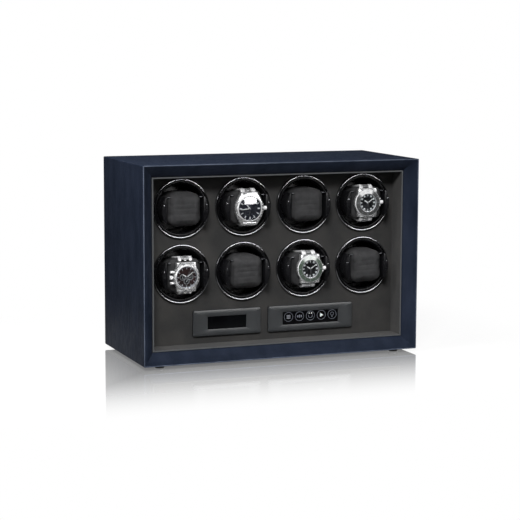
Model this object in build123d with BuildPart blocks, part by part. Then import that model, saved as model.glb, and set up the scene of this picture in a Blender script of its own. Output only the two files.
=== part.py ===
"""Watch winder cabinet for eight watches: a board cabinet covered in leatherette, open at the
front, with a lined bay, eight turning drums that hold watch cushions, a display and a touch key
strip. Behind the drum panel are the chassis, four geared motors and the belts.

Millimetres. X runs to the right, Y to the back and Z up. The origin is on the table, under the
centre of the cabinet.
"""

from build123d import *
import os

os.makedirs("parts", exist_ok=True)

# ---------------------------------------------------------------- driving dimensions
WIDTH = 442.0
DEPTH = 204.0
HEIGHT = 295.0  # of the cabinet, without its feet
FOOT_HEIGHT = 5.0
BOARD = 18.0  # thickness of the four cabinet boards
RIM = 1.2  # flat edge in front of the bevel
BEVEL = BOARD - RIM  # width and depth of the bevel round the opening
EDGE_ROUND = 0.8

LINING_GAP = 0.8  # joint between the boards and the lining
LINING = 1.8
PANEL_FRONT = 50.0  # depth behind the cabinet's front of the drum panel
PANEL = 6.0
PANEL_PLAY = 0.3

COLUMNS = 4
ROWS = 2
PITCH_X = 98.6
PITCH_Z = 97.8
TOP_ROW_Z = 231.4

RING_FRONT = 45.0
RING_OUTER = 44.4
RING_INNER = 42.0
RING_SPIGOT = 43.0
DRUM_OUTER = 41.6
DRUM_INNER = 36.5
DRUM_FRONT = 46.0
DRUM_FLOOR = 96.0
HOLDER_INNER = 28.2  # half the distance between the two cheeks
HOLDER_FRONT = 26.0
CUSHION_FRONT = 31.0
CUSHION_SIZE = (55.6, 45.0, 51.5)  # width, depth, height
CUSHION_ROUND = 8.0  # of its front and back edges
CUSHION_CORNER = 14.0  # of its four corners, seen from the front

PULLEY_FRONT = 103.0
DRUM_PULLEY_R = 20.0
MOTOR_PULLEY_R = 8.0
FLANGE = 1.5  # thickness of a pulley flange
FLANGE_RISE = 2.0  # how far it stands above the groove
GROOVE = 5.0
MOTOR_OFFSET = 30.0  # from the column's axis to the motor shaft
SPINDLE_R = 4.0
SHAFT_R = 2.5
RUNNING = 0.05  # radial clearance of a shaft in its bush
CHASSIS_FRONT = 124.0
CHASSIS = 2.0

BACK_COVER = 6.0
COVER_RECESS = 1.5  # of the back cover, in from the boards' back edges
BATTEN = 12.0

# ---------------------------------------------------------------- derived
BASE = FOOT_HEIGHT
TOP = FOOT_HEIGHT + HEIGHT
INNER_HALF = WIDTH / 2 - BOARD
INNER_BASE = BASE + BOARD
INNER_TOP = TOP - BOARD
MIDDLE_Z = (INNER_BASE + INNER_TOP) / 2
INNER_HEIGHT = INNER_TOP - INNER_BASE
AXES = [
    ((column - (COLUMNS - 1) / 2) * PITCH_X, TOP_ROW_Z - row * PITCH_Z)
    for row in range(ROWS)
    for column in range(COLUMNS)
]
DRIVE_Z = TOP_ROW_Z - PITCH_Z / 2
MOTOR_AXES = [(x + MOTOR_OFFSET, DRIVE_Z) for x, _ in AXES[:COLUMNS]]


def facing(depth):
    """A plane that faces forward, depth behind the cabinet's front: its x is right, its y is up."""
    return Plane.XZ.offset(DEPTH / 2 - depth)


def save(part, name):
    """Labels a piece and writes it as its own node."""
    part.part.label = name
    export_step(part.part, f"parts/{name}.step")


def half_profile(x, z):
    """The plane of a turned part's section: its x is the radius, its y is the depth."""
    return Plane(origin=(x, -DEPTH / 2, z), x_dir=(1, 0, 0), z_dir=(0, 0, 1))


def spin_axis(x, z):
    return Axis((x, 0, z), (0, 1, 0))


# ---------------------------------------------------------------- cabinet
OUTER = [
    (-WIDTH / 2, TOP),
    (WIDTH / 2, TOP),
    (WIDTH / 2, BASE),
    (-WIDTH / 2, BASE),
]
INNER = [
    (-INNER_HALF, INNER_TOP),
    (INNER_HALF, INNER_TOP),
    (INNER_HALF, INNER_BASE),
    (-INNER_HALF, INNER_BASE),
]
for side, name in enumerate(("top_panel", "right_panel", "bottom_panel", "left_panel")):
    after = (side + 1) % 4
    with BuildPart() as board:
        with BuildSketch(facing(0)):
            with BuildLine():
                Polyline(OUTER[side], OUTER[after], INNER[after], INNER[side], close=True)
            make_face()
        extrude(amount=-DEPTH)
        front_edges = board.faces().sort_by(Axis.Y)[0].edges().sort_by(SortBy.LENGTH)
        chamfer(front_edges[-2], length=BEVEL)
        front_edges = board.faces().sort_by(Axis.Y)[0].edges().sort_by(SortBy.LENGTH)
        fillet(front_edges[-1], radius=EDGE_ROUND)
    save(board, name)

# lining of the bay, a thin sleeve from the bevel back to the drum panel
LINING_HALF = INNER_HALF - LINING_GAP
LINING_HEIGHT = INNER_HEIGHT - 2 * LINING_GAP
with BuildPart() as interior_lining:
    with BuildSketch(facing(BEVEL)):
        with Locations((0, MIDDLE_Z)):
            Rectangle(2 * LINING_HALF, LINING_HEIGHT)
            Rectangle(2 * (LINING_HALF - LINING), LINING_HEIGHT - 2 * LINING, mode=Mode.SUBTRACT)
    extrude(amount=BEVEL - PANEL_FRONT)
save(interior_lining, "interior_lining")

# feet: turned metal pucks on rubber pads
FOOT_X = 191.0
FOOT_INSET = 20.0
FOOT_R = 8.0
FOOT_ROUND = 0.8
PAD = 1.5
PAD_INSET = 1.2
FOOT_SPACING = (2 * FOOT_X, DEPTH - 2 * FOOT_INSET)
with BuildPart() as feet:
    with BuildSketch(Plane.XY.offset(PAD)):
        with GridLocations(*FOOT_SPACING, 2, 2):
            Circle(FOOT_R)
    extrude(amount=BASE - PAD)
    fillet(feet.edges().filter_by(GeomType.CIRCLE).group_by(Axis.Z)[0], radius=FOOT_ROUND)
save(feet, "feet")
with BuildPart() as foot_pads:
    with BuildSketch(Plane.XY):
        with GridLocations(*FOOT_SPACING, 2, 2):
            Circle(FOOT_R - PAD_INSET)
    extrude(amount=PAD)
save(foot_pads, "foot_pads")

# ---------------------------------------------------------------- drum panel
DISPLAY_CENTRE = (-75.2, 56.8)
DISPLAY_SIZE = (109.0, 39.0)
DISPLAY_WINDOW = (62.0, 19.6)
KEYPAD_CENTRE = (61.8, 56.8)
KEYPAD_SIZE = (140.0, 39.0)
KEYPAD_WINDOW = (92.4, 20.0)
MODULE_MARGIN = 1.0
CONTROLS = (
    (DISPLAY_CENTRE, DISPLAY_SIZE, DISPLAY_WINDOW, "display_bezel", "display_window", "lcd_module"),
    (KEYPAD_CENTRE, KEYPAD_SIZE, KEYPAD_WINDOW, "keypad_bezel", "keypad_glass", "touch_board"),
)
with BuildPart() as rotor_panel:
    with BuildSketch(facing(PANEL_FRONT)):
        with Locations((0, MIDDLE_Z)):
            Rectangle(2 * (INNER_HALF - PANEL_PLAY), INNER_HEIGHT - 2 * PANEL_PLAY)
        with Locations(*AXES):
            Circle(RING_SPIGOT + RUNNING, mode=Mode.SUBTRACT)
        for centre, _, window, *_ in CONTROLS:
            with Locations(centre):
                Rectangle(*window, mode=Mode.SUBTRACT)
    extrude(amount=-PANEL)
save(rotor_panel, "rotor_panel")

# cleats behind the panel and battens for the back cover, glued inside the cabinet
CLEAT = 10.0
BATTEN_JOINT = 0.5
COVER_BACK = DEPTH - COVER_RECESS
COVER_FRONT = COVER_BACK - BACK_COVER
PILOT_R = 1.5
SCREW_X = [-150.0, 0.0, 150.0]
SCREW_EDGE = INNER_HALF - BATTEN / 2
COVER_SCREWS = [(x, z) for x in SCREW_X for z in (INNER_BASE + BATTEN / 2, INNER_TOP - BATTEN / 2)]
COVER_SCREWS += [(-SCREW_EDGE, MIDDLE_Z), (SCREW_EDGE, MIDDLE_Z)]
with BuildPart() as inner_battens:
    with BuildSketch(facing(COVER_FRONT)):
        for z in (INNER_BASE + BATTEN / 2, INNER_TOP - BATTEN / 2):
            with Locations((0, z)):
                Rectangle(2 * INNER_HALF, BATTEN)
        for x in (-SCREW_EDGE, SCREW_EDGE):
            with Locations((x, MIDDLE_Z)):
                Rectangle(BATTEN, INNER_HEIGHT - 2 * (BATTEN + BATTEN_JOINT))
        with Locations(*COVER_SCREWS):
            Circle(PILOT_R, mode=Mode.SUBTRACT)
    extrude(amount=BATTEN)
    with BuildSketch(facing(PANEL_FRONT + PANEL)):
        for x in (-INNER_HALF + CLEAT / 2, INNER_HALF - CLEAT / 2):
            with Locations((x, MIDDLE_Z)):
                Rectangle(CLEAT, INNER_HEIGHT)
    extrude(amount=-CLEAT)
save(inner_battens, "inner_battens")

# rings in the panel's eight holes, rounded in front
RING_ROUND = (RING_OUTER - RING_INNER) / 2
with BuildPart() as rim_rings:
    for x, z in AXES:
        with BuildSketch(half_profile(x, z)):
            with BuildLine():
                ThreePointArc(
                    (RING_INNER, RING_FRONT + RING_ROUND),
                    (RING_INNER + RING_ROUND, RING_FRONT),
                    (RING_OUTER, RING_FRONT + RING_ROUND),
                )
                Polyline(
                    (RING_OUTER, RING_FRONT + RING_ROUND),
                    (RING_OUTER, PANEL_FRONT),
                    (RING_SPIGOT, PANEL_FRONT),
                    (RING_SPIGOT, PANEL_FRONT + PANEL),
                    (RING_INNER, PANEL_FRONT + PANEL),
                    (RING_INNER, RING_FRONT + RING_ROUND),
                )
            make_face()
        revolve(axis=spin_axis(x, z))
save(rim_rings, "rim_rings")

# ---------------------------------------------------------------- display and touch keys
BEZEL_BEVEL = 2.4
BEZEL_THICK = 4.0
BEZEL_FRONT = PANEL_FRONT - BEZEL_THICK
GLASS_RECESS = 0.3
GLASS = 2.0
GLASS_PLAY = 0.1
GLASS_EASE = 0.3
BEZEL_CORNER = 2.8
MODULE_FLANGE = (10.0, 12.0)
MODULE_BOARD = 1.6
for centre, size, window, bezel_name, glass_name, module_name in CONTROLS:
    with BuildPart() as bezel:
        with BuildSketch(facing(PANEL_FRONT)):
            with Locations(centre):
                RectangleRounded(*size, BEZEL_CORNER)
        extrude(amount=BEZEL_THICK)
        chamfer(bezel.faces().sort_by(Axis.Y)[0].edges(), length=BEZEL_BEVEL)
        with BuildSketch(facing(PANEL_FRONT)):
            with Locations(centre):
                Rectangle(*window)
        extrude(amount=BEZEL_THICK, mode=Mode.SUBTRACT)
    save(bezel, bezel_name)
    with BuildPart() as glass:
        with BuildSketch(facing(BEZEL_FRONT + GLASS_RECESS)):
            with Locations(centre):
                Rectangle(window[0] - 2 * GLASS_PLAY, window[1] - 2 * GLASS_PLAY)
        extrude(amount=-GLASS)
        chamfer(glass.faces().sort_by(Axis.Y)[0].edges(), length=GLASS_EASE)
    save(glass, glass_name)
    module_front = BEZEL_FRONT + GLASS_RECESS + GLASS
    with BuildPart() as module:
        with BuildSketch(facing(module_front)):
            with Locations(centre):
                Rectangle(window[0] - MODULE_MARGIN, window[1] - MODULE_MARGIN)
        extrude(amount=module_front - PANEL_FRONT - PANEL)
        with BuildSketch(facing(PANEL_FRONT + PANEL)):
            with Locations(centre):
                Rectangle(window[0] + MODULE_FLANGE[0], window[1] + MODULE_FLANGE[1])
        extrude(amount=-MODULE_BOARD)
    save(module, module_name)

# ---------------------------------------------------------------- drums, holders and cushions
DRUM_REAR_R = 38.6
DRUM_STEP = 60.0
DRUM_WALL = 3.0
LIP = 2.0  # slope of the drum's mouth
DRUM_EDGE = 0.8
BOSS_R = 14.0
GROOVE_FRONT = PULLEY_FRONT + FLANGE
GROOVE_BACK = GROOVE_FRONT + GROOVE
PULLEY_BACK = GROOVE_BACK + FLANGE
SPINDLE_TAIL = 7.0  # how far the spindle runs on behind the chassis plate's front
SPINDLE_END = CHASSIS_FRONT + SPINDLE_TAIL
FLANGE_R = DRUM_PULLEY_R + FLANGE_RISE
for number, (x, z) in enumerate(AXES, start=1):
    with BuildPart() as drum:
        with BuildSketch(half_profile(x, z)):
            with BuildLine():
                Polyline(
                    (0, DRUM_FLOOR),
                    (DRUM_INNER, DRUM_FLOOR),
                    (DRUM_INNER, DRUM_FRONT + LIP),
                    (DRUM_INNER + LIP, DRUM_FRONT),
                    (DRUM_OUTER - DRUM_EDGE, DRUM_FRONT),
                    (DRUM_OUTER, DRUM_FRONT + DRUM_EDGE),
                    (DRUM_OUTER, DRUM_STEP),
                    (DRUM_REAR_R, DRUM_STEP),
                    (DRUM_REAR_R, DRUM_FLOOR + DRUM_WALL),
                    (BOSS_R, DRUM_FLOOR + DRUM_WALL),
                    (BOSS_R, PULLEY_FRONT),
                    (FLANGE_R, PULLEY_FRONT),
                    (FLANGE_R, GROOVE_FRONT),
                    (DRUM_PULLEY_R, GROOVE_FRONT),
                    (DRUM_PULLEY_R, GROOVE_BACK),
                    (FLANGE_R, GROOVE_BACK),
                    (FLANGE_R, PULLEY_BACK),
                    (SPINDLE_R, PULLEY_BACK),
                    (SPINDLE_R, SPINDLE_END),
                    (0, SPINDLE_END),
                    close=True,
                )
            make_face()
        revolve(axis=spin_axis(x, z))
    save(drum, f"drum_{number}")

HOLDER_PLAY = 0.3
HOLDER_R = DRUM_INNER - HOLDER_PLAY
HOLDER_BASE = 4.0
CHEEK_HALF_HEIGHT = 19.5
TIP_ROUND = 1.4
LEDGE_REACH = 4.0  # how far a ledge stands in from its cheek
LEDGE_ROOT = 2.0  # how far it runs into the cheek
LEDGE_HALF_HEIGHT = 10.0
LEDGE_GAP = 0.4
LEDGE_FRONT = CUSHION_FRONT + CUSHION_SIZE[1] + LEDGE_GAP
PIN_R = 1.8
PIN_X = 33.2
PIN_Z = 6.5
PIN_RISE = 0.6
PIN_SINK = 1.0  # how deep it sits in its cheek
for number, (x, z) in enumerate(AXES, start=1):
    with BuildPart() as holder:
        with BuildSketch(facing(DRUM_FLOOR)):
            with Locations((x, z)):
                Circle(HOLDER_R)
        extrude(amount=HOLDER_BASE)
        with BuildSketch(facing(DRUM_FLOOR - HOLDER_BASE)):
            with Locations((x, z)):
                Circle(HOLDER_R)
                Rectangle(2 * HOLDER_R, 2 * CHEEK_HALF_HEIGHT, mode=Mode.INTERSECT)
                Rectangle(2 * HOLDER_INNER, 2 * HOLDER_R, mode=Mode.SUBTRACT)
        extrude(amount=DRUM_FLOOR - HOLDER_BASE - HOLDER_FRONT)
        tips = holder.faces().sort_by(Axis.Y)[0:2]
        fillet(tips.edges(), radius=TIP_ROUND)
        with BuildSketch(facing(LEDGE_FRONT + LEDGE_REACH)):
            for way in (-1, 1):
                with Locations((x + way * (HOLDER_INNER + (LEDGE_ROOT - LEDGE_REACH) / 2), z)):
                    Rectangle(LEDGE_REACH + LEDGE_ROOT, 2 * LEDGE_HALF_HEIGHT)
        extrude(amount=LEDGE_REACH)
        with BuildSketch(facing(HOLDER_FRONT + PIN_SINK)):
            for way in (-1, 1):
                with Locations((x + way * PIN_X, z + PIN_Z)):
                    Circle(PIN_R)
        extrude(amount=PIN_SINK + PIN_RISE)
    save(holder, f"holder_{number}")

for number, (x, z) in enumerate(AXES, start=1):
    with BuildPart() as cushion:
        with BuildSketch(facing(CUSHION_FRONT)):
            with Locations((x, z)):
                RectangleRounded(CUSHION_SIZE[0], CUSHION_SIZE[2], CUSHION_CORNER)
        extrude(amount=-CUSHION_SIZE[1])
        faces = cushion.faces().sort_by(Axis.Y)
        fillet(faces[0].edges() + faces[-1].edges(), radius=CUSHION_ROUND)
    save(cushion, f"cushion_{number}")

# ---------------------------------------------------------------- watches on four of the cushions
CASE_THICK = 9.8
CASE_BEVEL = 1.2
BEZEL_WIDTH = 3.5
CRYSTAL_RISE = 1.2
LINK = 2.8  # thickness of the bracelet
SLACK = 0.4  # between the bracelet and the cushion
CROWN_R = 3.0
CROWN_OUT = 4.6
LOOP_ROUND = CUSHION_ROUND
# drum number: radius of the case, bracelet width, side of the crown, drop below the drum's axis
WATCHES = {
    2: (20.5, 24.0, 1, 1.5),
    4: (20.8, 22.0, 1, 0.0),
    5: (20.5, 22.0, -1, 1.5),
    7: (20.8, 22.0, 1, -0.6),
}
CASE_BACK = CUSHION_FRONT - SLACK
for number, (case_r, strap, crown_side, drop) in WATCHES.items():
    x, z = AXES[number - 1]
    loop_middle = CUSHION_FRONT + CUSHION_SIZE[1] / 2
    loop_size = (CUSHION_SIZE[1] + 2 * SLACK, CUSHION_SIZE[2] + 2 * SLACK)
    with BuildPart() as watch:
        # the bracelet is a loop round the cushion, open in front, where the case closes it
        loop_plane = Plane(origin=(x - strap / 2, -DEPTH / 2, z), x_dir=(0, 1, 0), z_dir=(1, 0, 0))
        with BuildSketch(loop_plane):
            with Locations((loop_middle, 0)):
                RectangleRounded(loop_size[0] + 2 * LINK, loop_size[1] + 2 * LINK, LOOP_ROUND + LINK)
                RectangleRounded(*loop_size, LOOP_ROUND, mode=Mode.SUBTRACT)
        extrude(amount=strap)
        with BuildSketch(facing(CASE_BACK)):
            with Locations((x, z - drop)):
                Circle(case_r)
        extrude(amount=CASE_THICK)
        chamfer(watch.faces().sort_by(Axis.Y)[0].edges(), length=CASE_BEVEL)
        with BuildSketch(facing(CASE_BACK - CASE_THICK)):
            with Locations((x, z - drop)):
                Circle(case_r - BEZEL_WIDTH)
        extrude(amount=CRYSTAL_RISE)
        crown_plane = Plane(
            origin=(x, -DEPTH / 2 + CASE_BACK - CASE_THICK / 2, z - drop),
            x_dir=(0, 0, 1),
            z_dir=(crown_side, 0, 0),
        )
        with BuildSketch(crown_plane):
            Circle(CROWN_R)
        extrude(amount=case_r + CROWN_OUT)
    save(watch, f"watch_{number}")

# ---------------------------------------------------------------- chassis and drive
STANDOFF_R = 4.0
STANDOFF_TAP = 8.0  # depth of its threaded hole
STANDOFF_ROWS = 88.0  # the standoffs' height above and below the drive's middle
STANDOFFS = [(x, DRIVE_Z + way * STANDOFF_ROWS) for x in (-PITCH_X, 0, PITCH_X) for way in (-1, 1)]
CHASSIS_SIZE = (390.0, 194.0)
BUSH_R = 7.0
MOTOR_R = 15.0
MOTOR_LENGTH = 30.0
MOTOR_BORE = 14.0
SHAFT_END_PLAY = 0.5
SHAFT_HOLE = 1.5  # play of the motor shaft in the chassis
EAR_PITCH = 38.0
EAR_SIZE = (EAR_PITCH + 10.0, 9.0)
EAR = 2.0
SCREW_R = 1.5
HEAD_R = 3.0
HEAD = 1.8
SCREW_TIP = 1.0  # how far a screw runs on in front of the chassis
MOTOR_EARS = [(x, z + way * EAR_PITCH / 2) for x, z in MOTOR_AXES for way in (-1, 1)]
with BuildPart() as chassis_plate:
    with BuildSketch(facing(CHASSIS_FRONT)):
        with Locations((0, DRIVE_Z)):
            Rectangle(*CHASSIS_SIZE)
        with Locations(*AXES):
            Circle(BUSH_R, mode=Mode.SUBTRACT)
        with Locations(*MOTOR_AXES):
            Circle(SHAFT_R + SHAFT_HOLE, mode=Mode.SUBTRACT)
        with Locations(*STANDOFFS, *MOTOR_EARS):
            Circle(SCREW_R, mode=Mode.SUBTRACT)
    extrude(amount=-CHASSIS)
save(chassis_plate, "chassis_plate")

with BuildPart() as chassis_standoffs:
    with BuildSketch(facing(PANEL_FRONT + PANEL)):
        with Locations(*STANDOFFS):
            RegularPolygon(STANDOFF_R, 6)
    extrude(amount=PANEL_FRONT + PANEL - CHASSIS_FRONT)
    with BuildSketch(facing(CHASSIS_FRONT)):
        with Locations(*STANDOFFS):
            Circle(SCREW_R)
    extrude(amount=STANDOFF_TAP, mode=Mode.SUBTRACT)
save(chassis_standoffs, "chassis_standoffs")

CHASSIS_BACK = CHASSIS_FRONT + CHASSIS
with BuildPart() as chassis_screws:
    for places, seat in ((STANDOFFS, CHASSIS_BACK), (MOTOR_EARS, CHASSIS_BACK + EAR)):
        with BuildSketch(facing(seat)):
            with Locations(*places):
                Circle(HEAD_R)
        extrude(amount=-HEAD)
        with BuildSketch(facing(seat)):
            with Locations(*places):
                Circle(SCREW_R)
        extrude(amount=seat - CHASSIS_FRONT + SCREW_TIP)
save(chassis_screws, "chassis_screws")

BUSH_FLANGE = 2.0
BUSH_RIM = 2.0
BUSH_LENGTH = 6.0
with BuildPart() as spindle_bushes:
    with BuildSketch(facing(CHASSIS_FRONT)):
        with Locations(*AXES):
            Circle(BUSH_R + BUSH_RIM)
    extrude(amount=BUSH_FLANGE)
    with BuildSketch(facing(CHASSIS_FRONT)):
        with Locations(*AXES):
            Circle(BUSH_R)
    extrude(amount=-BUSH_LENGTH)
    with BuildSketch(facing(CHASSIS_FRONT - BUSH_FLANGE)):
        with Locations(*AXES):
            Circle(SPINDLE_R + RUNNING)
    extrude(amount=-BUSH_LENGTH - BUSH_FLANGE, mode=Mode.SUBTRACT)
save(spindle_bushes, "spindle_bushes")

with BuildPart() as gear_motors:
    with BuildSketch(facing(CHASSIS_BACK)):
        with Locations(*MOTOR_AXES):
            SlotOverall(*EAR_SIZE, rotation=90)
        with Locations(*MOTOR_EARS):
            Circle(SCREW_R, mode=Mode.SUBTRACT)
    extrude(amount=-EAR)
    with BuildSketch(facing(CHASSIS_BACK)):
        with Locations(*MOTOR_AXES):
            Circle(MOTOR_R)
    extrude(amount=-MOTOR_LENGTH)
    with BuildSketch(facing(CHASSIS_BACK)):
        with Locations(*MOTOR_AXES):
            Circle(SHAFT_R + RUNNING)
    extrude(amount=-MOTOR_BORE, mode=Mode.SUBTRACT)
save(gear_motors, "gear_motors")

for number, (x, z) in enumerate(MOTOR_AXES, start=1):
    with BuildPart() as motor_pulley:
        with BuildSketch(facing(PULLEY_FRONT)):
            with Locations((x, z)):
                Circle(MOTOR_PULLEY_R + FLANGE_RISE)
        extrude(amount=-FLANGE)
        with BuildSketch(facing(GROOVE_FRONT)):
            with Locations((x, z)):
                Circle(MOTOR_PULLEY_R)
        extrude(amount=-GROOVE)
        with BuildSketch(facing(GROOVE_BACK)):
            with Locations((x, z)):
                Circle(MOTOR_PULLEY_R + FLANGE_RISE)
        extrude(amount=-FLANGE)
        with BuildSketch(facing(PULLEY_BACK)):
            with Locations((x, z)):
                Circle(SHAFT_R)
        extrude(amount=PULLEY_BACK - CHASSIS_BACK - MOTOR_BORE + SHAFT_END_PLAY)
    save(motor_pulley, f"motor_pulley_{number}")

# one flat belt per column, round the two drum pulleys and the motor pulley
BELT_GAP = 0.3
BELT = 1.4
BELT_WIDTH = GROOVE - 2 * BELT_GAP
with BuildPart() as drive_belts:
    for column in range(COLUMNS):
        wheels = [
            (AXES[column], DRUM_PULLEY_R),
            (AXES[column + COLUMNS], DRUM_PULLEY_R),
            (MOTOR_AXES[column], MOTOR_PULLEY_R),
        ]
        for skin, mode in ((BELT_GAP + BELT, Mode.ADD), (BELT_GAP, Mode.SUBTRACT)):
            with BuildSketch(facing(GROOVE_FRONT + BELT_GAP)):
                for place, radius in wheels:
                    with Locations(place):
                        Circle(radius + skin)
                make_hull()
            extrude(amount=-BELT_WIDTH, mode=mode)
save(drive_belts, "drive_belts")

# ---------------------------------------------------------------- back cover and electronics
COVER_PLAY = 0.3
HEAD_TOP_R = 3.4
HEAD_SINK = 0.2
DIMPLE = 0.8  # of the driver's seat in a screw head
DIMPLE_R = 1.0
POINT = 1.0  # taper of the screw's tip
VENT_SIZE = (44.0, 3.0)
VENT_X = 110.0
VENT_PITCH = 9.0
VENT_COUNT = 7
JACK_PLACE = (150.0, 52.0)
JACK_R = 4.0
with BuildPart() as back_cover:
    with BuildSketch(facing(COVER_FRONT)):
        with Locations((0, MIDDLE_Z)):
            Rectangle(2 * (INNER_HALF - COVER_PLAY), INNER_HEIGHT - 2 * COVER_PLAY)
        for x in (-VENT_X, VENT_X):
            with Locations((x, DRIVE_Z)):
                with GridLocations(0, VENT_PITCH, 1, VENT_COUNT):
                    SlotOverall(*VENT_SIZE, mode=Mode.SUBTRACT)
        with Locations(JACK_PLACE):
            Circle(JACK_R + RUNNING, mode=Mode.SUBTRACT)
    extrude(amount=-BACK_COVER)
    back = Plane(origin=(0, DEPTH / 2 - COVER_RECESS, 0), x_dir=(-1, 0, 0), z_dir=(0, 1, 0))
    with Locations(back):
        with Locations(*[(-x, z) for x, z in COVER_SCREWS]):
            CounterSinkHole(SCREW_R, HEAD_TOP_R, counter_sink_angle=90)
save(back_cover, "back_cover")

with BuildPart() as cover_screws:
    for x, z in COVER_SCREWS:
        with BuildSketch(half_profile(x, z)):
            with BuildLine():
                Polyline(
                    (0, COVER_BACK - DIMPLE),
                    (DIMPLE_R, COVER_BACK - HEAD_SINK),
                    (HEAD_TOP_R - HEAD_SINK, COVER_BACK - HEAD_SINK),
                    (SCREW_R, COVER_BACK - HEAD_TOP_R + SCREW_R),
                    (SCREW_R, COVER_FRONT - BATTEN + POINT),
                    (0, COVER_FRONT - BATTEN),
                    close=True,
                )
            make_face()
        revolve(axis=spin_axis(x, z))
save(cover_screws, "cover_screws")

# barrel socket for the mains adapter: the contact pin sits deep inside
SOCKET_R = 3.2
SOCKET_DEPTH = 12.0
CONTACT_R = 1.0
CONTACT_LENGTH = 6.0
JACK_FLANGE = 1.2
JACK_RIM = 1.5
NUT_R = 6.5
NUT = 8.0
JACK_BACK = COVER_BACK + JACK_FLANGE
with BuildPart() as dc_jack:
    with BuildSketch(facing(COVER_BACK)):
        with Locations(JACK_PLACE):
            Circle(JACK_R + JACK_RIM)
    extrude(amount=-JACK_FLANGE)
    with BuildSketch(facing(COVER_BACK)):
        with Locations(JACK_PLACE):
            Circle(JACK_R)
    extrude(amount=BACK_COVER)
    with BuildSketch(facing(COVER_FRONT)):
        with Locations(JACK_PLACE):
            RegularPolygon(NUT_R, 6)
    extrude(amount=NUT)
    with BuildSketch(facing(JACK_BACK)):
        with Locations(JACK_PLACE):
            Circle(SOCKET_R)
    extrude(amount=SOCKET_DEPTH, mode=Mode.SUBTRACT)
    with BuildSketch(facing(JACK_BACK - SOCKET_DEPTH)):
        with Locations(JACK_PLACE):
            Circle(CONTACT_R)
    extrude(amount=-CONTACT_LENGTH)
save(dc_jack, "dc_jack")

# control board on spacers on the cabinet's floor, with its two plug rows and its main chip
SPACER = 6.0
SPACER_R = 3.2
SPACER_INSET = 10.0
BOARD_SIZE = (120.0, 60.0)
BOARD_Y = 50.0
BOARD_TOP = INNER_BASE + SPACER + MODULE_BOARD
CHIPS = (((0, BOARD_Y), (14, 14), 1.8), ((-40, BOARD_Y + 20), (26, 8), 8), ((38, BOARD_Y + 20), (26, 8), 8))
with BuildPart() as control_board:
    with BuildSketch(Plane.XY.offset(BOARD_TOP)):
        with Locations((0, BOARD_Y)):
            Rectangle(*BOARD_SIZE)
    extrude(amount=-MODULE_BOARD)
    for place, size, rise in CHIPS:
        with BuildSketch(Plane.XY.offset(BOARD_TOP)):
            with Locations(place):
                Rectangle(*size)
        extrude(amount=rise)
save(control_board, "control_board")
with BuildPart() as board_spacers:
    with BuildSketch(Plane.XY.offset(INNER_BASE)):
        with Locations((0, BOARD_Y)):
            with GridLocations(BOARD_SIZE[0] - SPACER_INSET, BOARD_SIZE[1] - SPACER_INSET, 2, 2):
                RegularPolygon(SPACER_R, 6)
    extrude(amount=SPACER)
save(board_spacers, "board_spacers")

# flat cable from the touch board down and back to the control board
CABLE_WIDTH = 16.0
CABLE = 1.0
CABLE_START = -DEPTH / 2 + PANEL_FRONT + PANEL + MODULE_BOARD
CABLE_LAP = 4.0  # how far it lies on the control board
CABLE_END = BOARD_Y - BOARD_SIZE[1] / 2 + CABLE_LAP
CABLE_X = 30.0
CABLE_REACH = 12.0  # straight part behind the touch board
CABLE_FLAT = 16.0  # straight part on the control board
CABLE_BEND = 1.0
CABLE_EASE = 0.6
CABLE_ROUND = 0.3
CABLE_PLANE = Plane(origin=(CABLE_X, 0, 0), x_dir=(0, 1, 0), z_dir=(1, 0, 0))
with BuildPart() as ribbon_cable:
    with BuildSketch(CABLE_PLANE):
        with BuildLine():
            FilletPolyline(
                (CABLE_START, KEYPAD_CENTRE[1]),
                (CABLE_START + CABLE_REACH, KEYPAD_CENTRE[1]),
                (CABLE_END - CABLE_FLAT, BOARD_TOP + CABLE),
                (CABLE_END, BOARD_TOP + CABLE),
                (CABLE_END, BOARD_TOP),
                (CABLE_END - CABLE_FLAT - CABLE_BEND, BOARD_TOP),
                (CABLE_START + CABLE_REACH - CABLE_EASE, KEYPAD_CENTRE[1] - CABLE),
                (CABLE_START, KEYPAD_CENTRE[1] - CABLE),
                radius=CABLE_ROUND,
                close=True,
            )
        make_face()
    extrude(amount=CABLE_WIDTH)
save(ribbon_cable, "ribbon_cable")
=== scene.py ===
"""Looks of the watch winder: leatherette cabinet, chrome rings, gloss-black drums, padded cushions
and four watches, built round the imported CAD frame. Small forms are drawn in millimetres on a plane
that faces forward (x right, y up, z towards the viewer) and placed in the frame in metres."""

import math
from typing import NamedTuple

import bmesh
import bpy
from mathutils import Matrix, Vector, noise


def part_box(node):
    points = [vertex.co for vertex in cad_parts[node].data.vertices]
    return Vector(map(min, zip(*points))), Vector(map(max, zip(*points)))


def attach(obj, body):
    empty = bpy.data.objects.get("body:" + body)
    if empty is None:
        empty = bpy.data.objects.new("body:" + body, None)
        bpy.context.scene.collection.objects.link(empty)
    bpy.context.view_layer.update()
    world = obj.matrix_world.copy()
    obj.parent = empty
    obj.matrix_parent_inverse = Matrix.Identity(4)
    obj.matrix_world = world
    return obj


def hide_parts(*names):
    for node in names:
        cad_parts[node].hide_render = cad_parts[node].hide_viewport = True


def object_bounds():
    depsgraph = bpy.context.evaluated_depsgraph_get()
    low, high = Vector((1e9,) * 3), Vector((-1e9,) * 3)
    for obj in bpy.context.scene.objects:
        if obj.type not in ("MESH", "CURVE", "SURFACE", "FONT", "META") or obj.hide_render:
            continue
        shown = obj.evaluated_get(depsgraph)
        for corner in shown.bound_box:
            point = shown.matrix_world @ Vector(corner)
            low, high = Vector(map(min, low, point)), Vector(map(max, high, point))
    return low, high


MM = 0.001

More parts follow.
